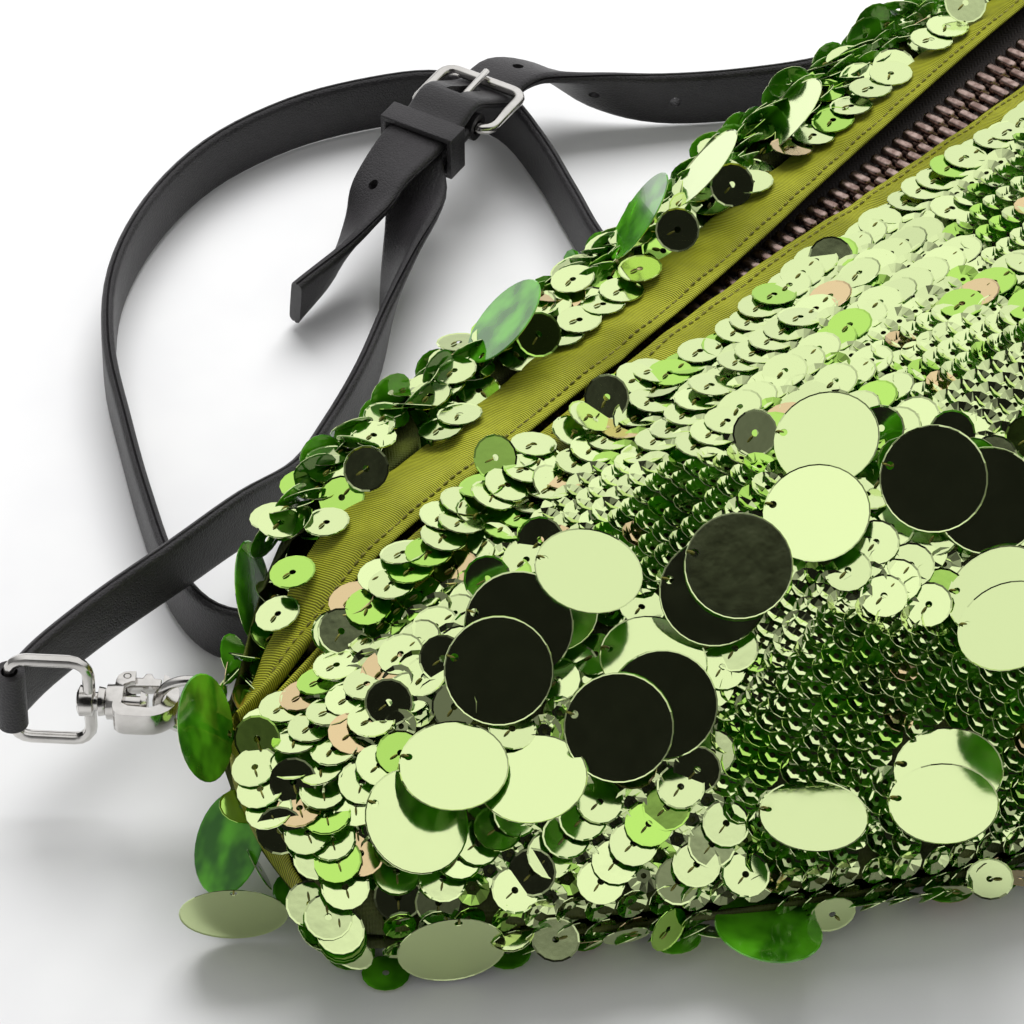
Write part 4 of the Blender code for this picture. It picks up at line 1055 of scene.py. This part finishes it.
# The back's zip edge, where sequins stand up past the band and roll over with the cloth.
RIM_ROWS, RIM_PITCH = 6, 0.0024
RIM_HALF = 0.139
RIM_LOWEST = 0.012
RIM_PALE_SHARE = 0.6
for row in range(RIM_ROWS):
    x = -RIM_HALF + 0.001 * row
    while x < RIM_HALF:
        end = eased(abs(x), ZIP_HALF, CORNER_X)
        behind = (0.0005 + RIM_PITCH * row) * (1 - 0.6 * end)
        over = Vector((x, ZIP_Y + BACK_BAND * (1 - BAND_TAPER * end) + behind, OVERHEAD))
        spot, out, *_ = back_tree.ray_cast(over, DOWN)
        flat_here = noise.noise(Vector((x * 30.0, row * 0.4, 12.5))) > -0.05
        x += FLAT_STEP if flat_here else CUP_STEP
        if spot is None or spot.z < RIM_LOWEST:
            continue
        along = Vector((1, 0, -0.3 * end * math.copysign(1, x)))
        out = (out + Vector((0, 0.25 * row, 0))).normalized()
        normal = tipped(along, out, (12, 12), (-8, 18))
        if flat_here:
            normal = kept_pale(normal) if row < 4 and random.random() < RIM_PALE_SHARE else normal
            sew_flat(spot, along, normal, out, 0.0006 + random.random() * 0.002)
        else:
            sew_cup(spot, along, normal, out, 0.0008)

# The back, which lies on the table, has the same flat sequins pressed close to the cloth.
BACK_SPACING = 0.0056
BACK_TRIES = 26000
FACES_TABLE = -0.93
back_spots = []
taken = {}
outer = []
for face in back_cloth.data.polygons:
    start = face.center + face.normal * 0.001
    hits = [tree.ray_cast(start, face.normal, OVERHEAD)[0] for tree in (front_tree, back_tree)]
    if hits == [None, None]:
        outer.append(face)
shares = np.cumsum([face.area for face in outer])
for attempt in range(BACK_TRIES):
    face = outer[int(np.searchsorted(shares, random.random() * shares[-1]))]
    corners = [back_cloth.data.vertices[index].co for index in face.vertices]
    a, b = random.random(), random.random()
    low = corners[0].lerp(corners[1], a)
    high = corners[-1].lerp(corners[2 if len(corners) > 3 else -1], a)
    spot = low.lerp(high, b)
    cell = tuple(int(math.floor(c / BACK_SPACING)) for c in spot)
    near = [
        other for i in (-1, 0, 1) for j in (-1, 0, 1) for k in (-1, 0, 1)
        for other in taken.get((cell[0] + i, cell[1] + j, cell[2] + k), ())
    ]
    if any((other - spot).length < BACK_SPACING for other in near):
        continue
    taken.setdefault(cell, []).append(spot)
    back_spots.append((spot, face.normal.copy()))
for spot, out in back_spots:
    turn = random.uniform(0, math.tau)
    along = Vector((math.cos(turn), math.sin(turn), 0.02))
    if out.z < FACES_TABLE:
        low = Vector((spot.x, spot.y, 0.0003 + random.random() * 0.0003))
        flat_places.append(placed(low, Vector((along.x, along.y, 0)), DOWN))
    else:
        along = along - out * along.dot(out)
        normal = tipped(along, out, (0, 11), (0, 11))
        sew_flat(spot, along, normal, out, 0.0010)


MOST_TRIANGLES = 190000


def sew_on(name, base, places, amber, deep):
    """Stamps sequins in pieces that stay light, each sequin with its own tint."""
    most = MOST_TRIANGLES // sum(len(face.vertices) - 2 for face in base.polygons)
    for first in range(0, len(places), most):
        some = places[first : first + most]
        piece = stamped(f"{name}_{first // most + 1}", base, some, mirror, reverse)
        layer = piece.data.color_attributes.new("tint", "FLOAT_COLOR", "POINT")
        colours = np.repeat([sequin_tint(amber, deep) for _ in some], len(base.vertices), axis=0)
        layer.data.foreach_set("color", colours.astype(np.float32).ravel())
        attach(piece, "pouch")


sew_on("cup_sequins", cup, cup_places, 0.04, 0.15)
sew_on("flat_sequins", flat, flat_places, 0.05, 0.15)
sew_on("large_sequins", large, large_places, 0.0, 0.0)
sewing = stamped("sewing_thread", stitch, thread_places, thread)
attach(sewing, "pouch")


# Clips: at each tip a folded tab of faille holds a ring, and a polished swivel snap hook with a
# sprung gate bites on the ring. The hook's eye carries the strap.
CLIP_EDGE, PIN_EDGE = 0.0002, 0.00008
for side in ("left", "right"):
    tab = cad_copy(side + "_tab_loop", side + "_tab", tip_faille)
    soften(tab, 1)
    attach(tab, "pouch")
    for node, body, bevel, levels in (
        ("ring", "ring", 0.0, 1), ("hook", "hook", CLIP_EDGE, 0), ("gate", "gate", CLIP_EDGE, 0),
        ("gate_pin", "hook", PIN_EDGE, 0),
    ):
        piece = cad_copy(f"{side}_{node}_metal", f"{side}_{node}", nickel)
        polish(piece, bevel, levels)
        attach(piece, f"{side}_{body}")
    eye = cad_copy(f"{side}_eye_metal", f"{side}_eye", nickel)
    polish(eye, CLIP_EDGE)
    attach(eye, "pouch")


# Strap: a thin doubled strap of black leather with turned edges. The short piece is sewn round
# the left eye and the buckle; the long one runs from its free end through the buckle, loops on
# the table behind the pouch and is sewn round the right eye.
STRAP_WIDTH = 0.012
STRAP_T = 0.0024
CLIP_TURN = math.radians(126)
CLIP_PLACE = Vector((0.1335, 0.0078 + ZIP_Y, 0.022))
EYE_BAR = 0.0371
BUCKLE_CENTRE = Vector((0.0240, 0.0880 + ZIP_Y, 0.0165))
BUCKLE_TURN = math.radians(9)
BUCKLE_HALF = 0.0065
BAR_R = 0.0011  # of the eyes and the buckle
ON_EDGE = STRAP_WIDTH / 2 + 0.0002
FOLD_R = BAR_R + 0.00035  # the bore of a fold round a bar
LAYERS_APART = 0.0009
UNDER_GAP = 0.0003
PRONG_SLOT = 0.0032
SLOTS = ((-0.0050, 0.0060, -0.0060, 0.0060), (0.0012, 0.0090, -0.0040, 0.0075))  # from, to, low, high
PUNCH_R = 0.0011
PUNCH_PITCH = 0.0165
PUNCHED = (-2, -1, 1, 2, 3)  # holes of the long strap, counted from the one in use


def eye_bar(side):
    return Vector((
        side * (CLIP_PLACE.x - EYE_BAR * math.cos(CLIP_TURN)),
        CLIP_PLACE.y + EYE_BAR * math.sin(CLIP_TURN), CLIP_PLACE.z,
    ))


def on_table(*points):
    """Points of a strap's route. Height and lie are given where it doesn't stand on its edge."""
    level = [ON_EDGE, 0.0]
    return [Vector((x, y + ZIP_Y, *more, *level[len(more) :])) for x, y, *more in points]


def in_buckle(along, across, up, lie):
    """A point of a route in the buckle's own frame, with the strap's lie there."""
    place = Matrix.Rotation(BUCKLE_TURN, 3, "Z") @ Vector((along, across, up)) + BUCKLE_CENTRE
    return Vector((*place, lie))


left_bar, right_bar = eye_bar(-1), eye_bar(1)
over_heel = FOLD_R + STRAP_T / 2 + LAYERS_APART + STRAP_T / 2
under_bar = -BAR_R - UNDER_GAP - STRAP_T / 2
short_route = [
    Vector((left_bar.x + 0.0018, left_bar.y + 0.0006, left_bar.z, 0)),
    *on_table(
        (-0.1440, 0.0400, 0.0214), (-0.1285, 0.0406, 0.0207), (-0.1120, 0.0400, 0.0202),
        (-0.0930, 0.0424, 0.0160), (-0.0740, 0.0462, 0.0084), (-0.0585, 0.0514), (-0.0430, 0.0570),
        (-0.0280, 0.0645, 0.0068, 8), (-0.0140, 0.0725, 0.0090, 35), (-0.0020, 0.0790, 0.0125, 70),
    ),
    in_buckle(-0.0210, -0.0004, -0.0006, 90),
    in_buckle(-0.0130, 0, -0.0002, 90), in_buckle(-BUCKLE_HALF - 0.0018, 0, 0, 90),
]
long_route = [
    *on_table(
        (-0.0335, 0.0815, 0.0066, 12), (-0.0220, 0.0818, 0.0086, 25), (-0.0120, 0.0830, 0.0130, 50),
        (-0.0055, 0.0846, 0.0166, 72),
    ),
    in_buckle(-0.0210, 0.0004, 0.0029, 90), in_buckle(-0.0130, 0, 0.0034, 90),
    in_buckle(-BUCKLE_HALF, 0, over_heel, 90), in_buckle(0, 0, (over_heel + under_bar) / 2, 90),
    in_buckle(BUCKLE_HALF, 0, under_bar, 90), in_buckle(0.0130, -0.0006, -0.0026, 86),
    *on_table(
        (0.0432, 0.0862, 0.0122, 62), (0.0495, 0.0776, 0.0088, 25), (0.0575, 0.0680, 0.0066, 4),
        (0.0690, 0.0570), (0.0830, 0.0470), (0.0990, 0.0420), (0.1130, 0.0412), (0.1205, 0.0350),
        (0.1130, 0.0292), (0.0950, 0.0285), (0.0700, 0.0283), (0.0450, 0.0283), (0.0250, 0.0290),
        (0.0135, 0.0345), (0.0125, 0.0450), (0.0205, 0.0595), (0.0285, 0.0735), (0.0345, 0.0885),
        (0.0315, 0.1010), (0.0215, 0.1100), (0.0060, 0.1180), (-0.0130, 0.1215), (-0.0330, 0.1185),
        (-0.0520, 0.1100), (-0.0680, 0.0965), (-0.0815, 0.0800), (-0.0940, 0.0635), (-0.1050, 0.0470),
        (-0.1085, 0.0340), (-0.1025, 0.0255), (-0.0880, 0.0236), (-0.0500, 0.0232), (0.0000, 0.0232),
        (0.0500, 0.0232), (0.0900, 0.0236), (0.1150, 0.0248, 0.0090), (0.1350, 0.0300, 0.0150),
    ),
    Vector((right_bar.x - 0.0090, right_bar.y - 0.0045, 0.0200, 0)),
    Vector((right_bar.x - 0.0018, right_bar.y - 0.0008, right_bar.z, 0)),
]


def smooth_route(points, per_run):
    """Points on one smooth curve through the route's own points."""
    ends = [2 * points[0] - points[1], *points, 2 * points[-1] - points[-2]]
    found = []
    for index in range(1, len(ends) - 2):
        a, b, c, d = ends[index - 1 : index + 3]
        for step in range(per_run):
            t = step / per_run
            found.append(0.5 * (
                2 * b + (c - a) * t + (2 * a - 5 * b + 4 * c - d) * t**2 + (3 * b - a - 3 * c + d) * t**3
            ))
    return found + [points[-1]]


def strap_section(width, thick):
    """Half-round edges with a fine groove where the two layers meet, as (across, through) points."""
    half, deep = width / 2, thick / 2
    lower = [
        (half - 0.0012, -deep), (half - 0.0005, -deep * 0.86), (half - 0.0001, -deep * 0.50),
        (half, -deep * 0.20),
    ]
    groove = [(half - 0.00035, 0.0)]
    upper = [(x, -y) for x, y in reversed(lower)]
    crown = [(half * 0.4, deep * 1.04), (-half * 0.4, deep * 1.04)]
    right = lower + groove + upper + crown
    return right + [(-x, -y) for x, y in right]


def strap_mesh(name, route, section):
    """A strap along the route, with its length and girth kept as a UV map in metres."""
    path = smooth_route(route, 5)
    spots = [Vector(point[:3]) for point in path]
    bm = bmesh.new()
    rings, runs, run, lies = [], [], 0.0, []
    for index, spot in enumerate(spots):
        ahead = spots[min(index + 1, len(spots) - 1)] - spots[max(index - 1, 0)]
        ahead.normalize()
        side = ahead.cross(Vector((0, 0, 1))).normalized()
        up = side.cross(ahead)
        lie = math.radians(path[index][3])
        across = up * math.cos(lie) + side * math.sin(lie)
        out = ahead.cross(across)
        lies.append(out)
        rings.append([bm.verts.new(spot + across * x + out * y) for x, y in section])
        run += (spot - spots[index - 1]).length if index else 0.0
        runs.append(run)
    girth = [0.0]
    for (x0, y0), (x1, y1) in zip(section, section[1:] + section[:1]):
        girth.append(girth[-1] + math.hypot(x1 - x0, y1 - y0))
    uv = bm.loops.layers.uv.new("strap")
    for index, face in enumerate(loft(bm, rings)):
        row, k = divmod(index, len(section))
        corners = ((row, k), (row, k + 1), (row + 1, k + 1), (row + 1, k))
        for loop, (down, around) in zip(face.loops, corners):
            loop[uv].uv = (runs[down], girth[around])
    bm.faces.new(list(reversed(rings[0])))
    bm.faces.new(rings[-1])
    bmesh.ops.recalc_face_normals(bm, faces=bm.faces)
    mesh = bpy.data.meshes.new(name)
    bm.to_mesh(mesh)
    bm.free()
    mesh.shade_smooth()
    return mesh, spots, run, lies


leather, shade, shader = new_finish("black_leather")
pores = shade.node(
    "ShaderNodeTexVoronoi", {"feature": "DISTANCE_TO_EDGE"}, {"Vector": shade.place(), "Scale": 1500.0}
)
crease, wear = shade.clouds(260.0, 6.0), shade.clouds(45.0, 4.0)
plug(shader, "Base Color", wear.band(0.35, 0.75).blend((0.012, 0.011, 0.012), (0.027, 0.025, 0.027)))
plug(shader, "Roughness", 0.34 + 0.22 * wear)
rough_bump(shade, shader, pores.band(0.0, 0.25) * 0.6 + crease * 0.8, 0.00012, 0.7)


def carve(made, operation, tool):
    """Joins a tool to a strap or cuts it out, and takes the tool away."""
    modified(made, "BOOLEAN", operation=operation, object=tool)
    bpy.data.objects.remove(tool)


def rod(start, end, radius):
    """A round tool from start to end."""
    length = (end - start).length
    made = shape_from(bpy.ops.mesh.primitive_cylinder_add, vertices=20, radius=radius, depth=length)
    turn = (end - start).to_track_quat("Z", "Y").to_matrix().to_4x4()
    made.data.transform(Matrix.Translation((start + end) / 2) @ turn)
    return made


def block(low, high):
    """A square tool in the buckle's own frame."""
    low, high = Vector(low), Vector(high)
    made = shape_from(bpy.ops.mesh.primitive_cube_add, size=1.0)
    made.data.transform(Matrix.Translation((low + high) / 2) @ Matrix.Diagonal((*(high - low), 1.0)))
    made.data.transform(Matrix.Translation(BUCKLE_CENTRE) @ Matrix.Rotation(BUCKLE_TURN, 4, "Z"))
    return made


def fold_round(made, low, high):
    """The end of a strap folded round a bar that runs from low to high."""
    reach = (high - low) * 0.2
    carve(made, "UNION", rod(low, high, FOLD_R + STRAP_T / 2))
    carve(made, "DIFFERENCE", rod(low - reach, high + reach, FOLD_R))


section = strap_section(STRAP_WIDTH, STRAP_T)
short_mesh, short_spots, short_length, _ = strap_mesh("strap_short_leather", short_route, section)
strap_short = add_object("strap_short_leather", short_mesh, leather)
long_mesh, long_spots, long_length, long_lies = strap_mesh("strap_long_leather", long_route, section)
strap_long = add_object("strap_long_leather", long_mesh, leather)
half = Vector((0, 0, STRAP_WIDTH / 2))
fold_round(strap_short, left_bar - half, left_bar + half)
fold_round(strap_long, right_bar - half, right_bar + half)
heel = [in_buckle(-BUCKLE_HALF, across, 0, 0).xyz for across in (-STRAP_WIDTH / 2, STRAP_WIDTH / 2)]
fold_round(strap_short, *heel)
wide = PRONG_SLOT / 2
for piece, (start, end, bottom, top) in zip((strap_short, strap_long), SLOTS):
    low, high = (start - BUCKLE_HALF, -wide, bottom), (end - BUCKLE_HALF, wide, top)
    carve(piece, "DIFFERENCE", block(low, high))
runs = np.cumsum([0.0] + [(b - a).length for a, b in zip(long_spots, long_spots[1:])])
in_use = min(range(len(long_spots)), key=lambda index: (long_spots[index] - BUCKLE_CENTRE).length)
for count in PUNCHED:
    index = int(np.argmin(np.abs(runs - runs[in_use] - count * PUNCH_PITCH)))
    spot, through = long_spots[index], long_lies[index] * STRAP_T
    carve(strap_long, "DIFFERENCE", rod(spot - through, spot + through, PUNCH_R))
for piece in (strap_short, strap_long):
    only(piece)
    bpy.ops.object.shade_smooth_by_angle(angle=math.radians(40))
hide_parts("strap_short")
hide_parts("strap_long")
for piece in (strap_short, strap_long):
    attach(piece, "pouch")
for name, node, finish, body in (
    ("keeper_loop", "strap_keeper", leather, "pouch"), ("buckle_bow", "buckle_frame", nickel, "pouch"),
    ("buckle_tongue", "buckle_prong", nickel, "prong"),
):
    piece = cad_copy(name, node, finish)
    polish(piece, CLIP_EDGE)
    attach(piece, body)
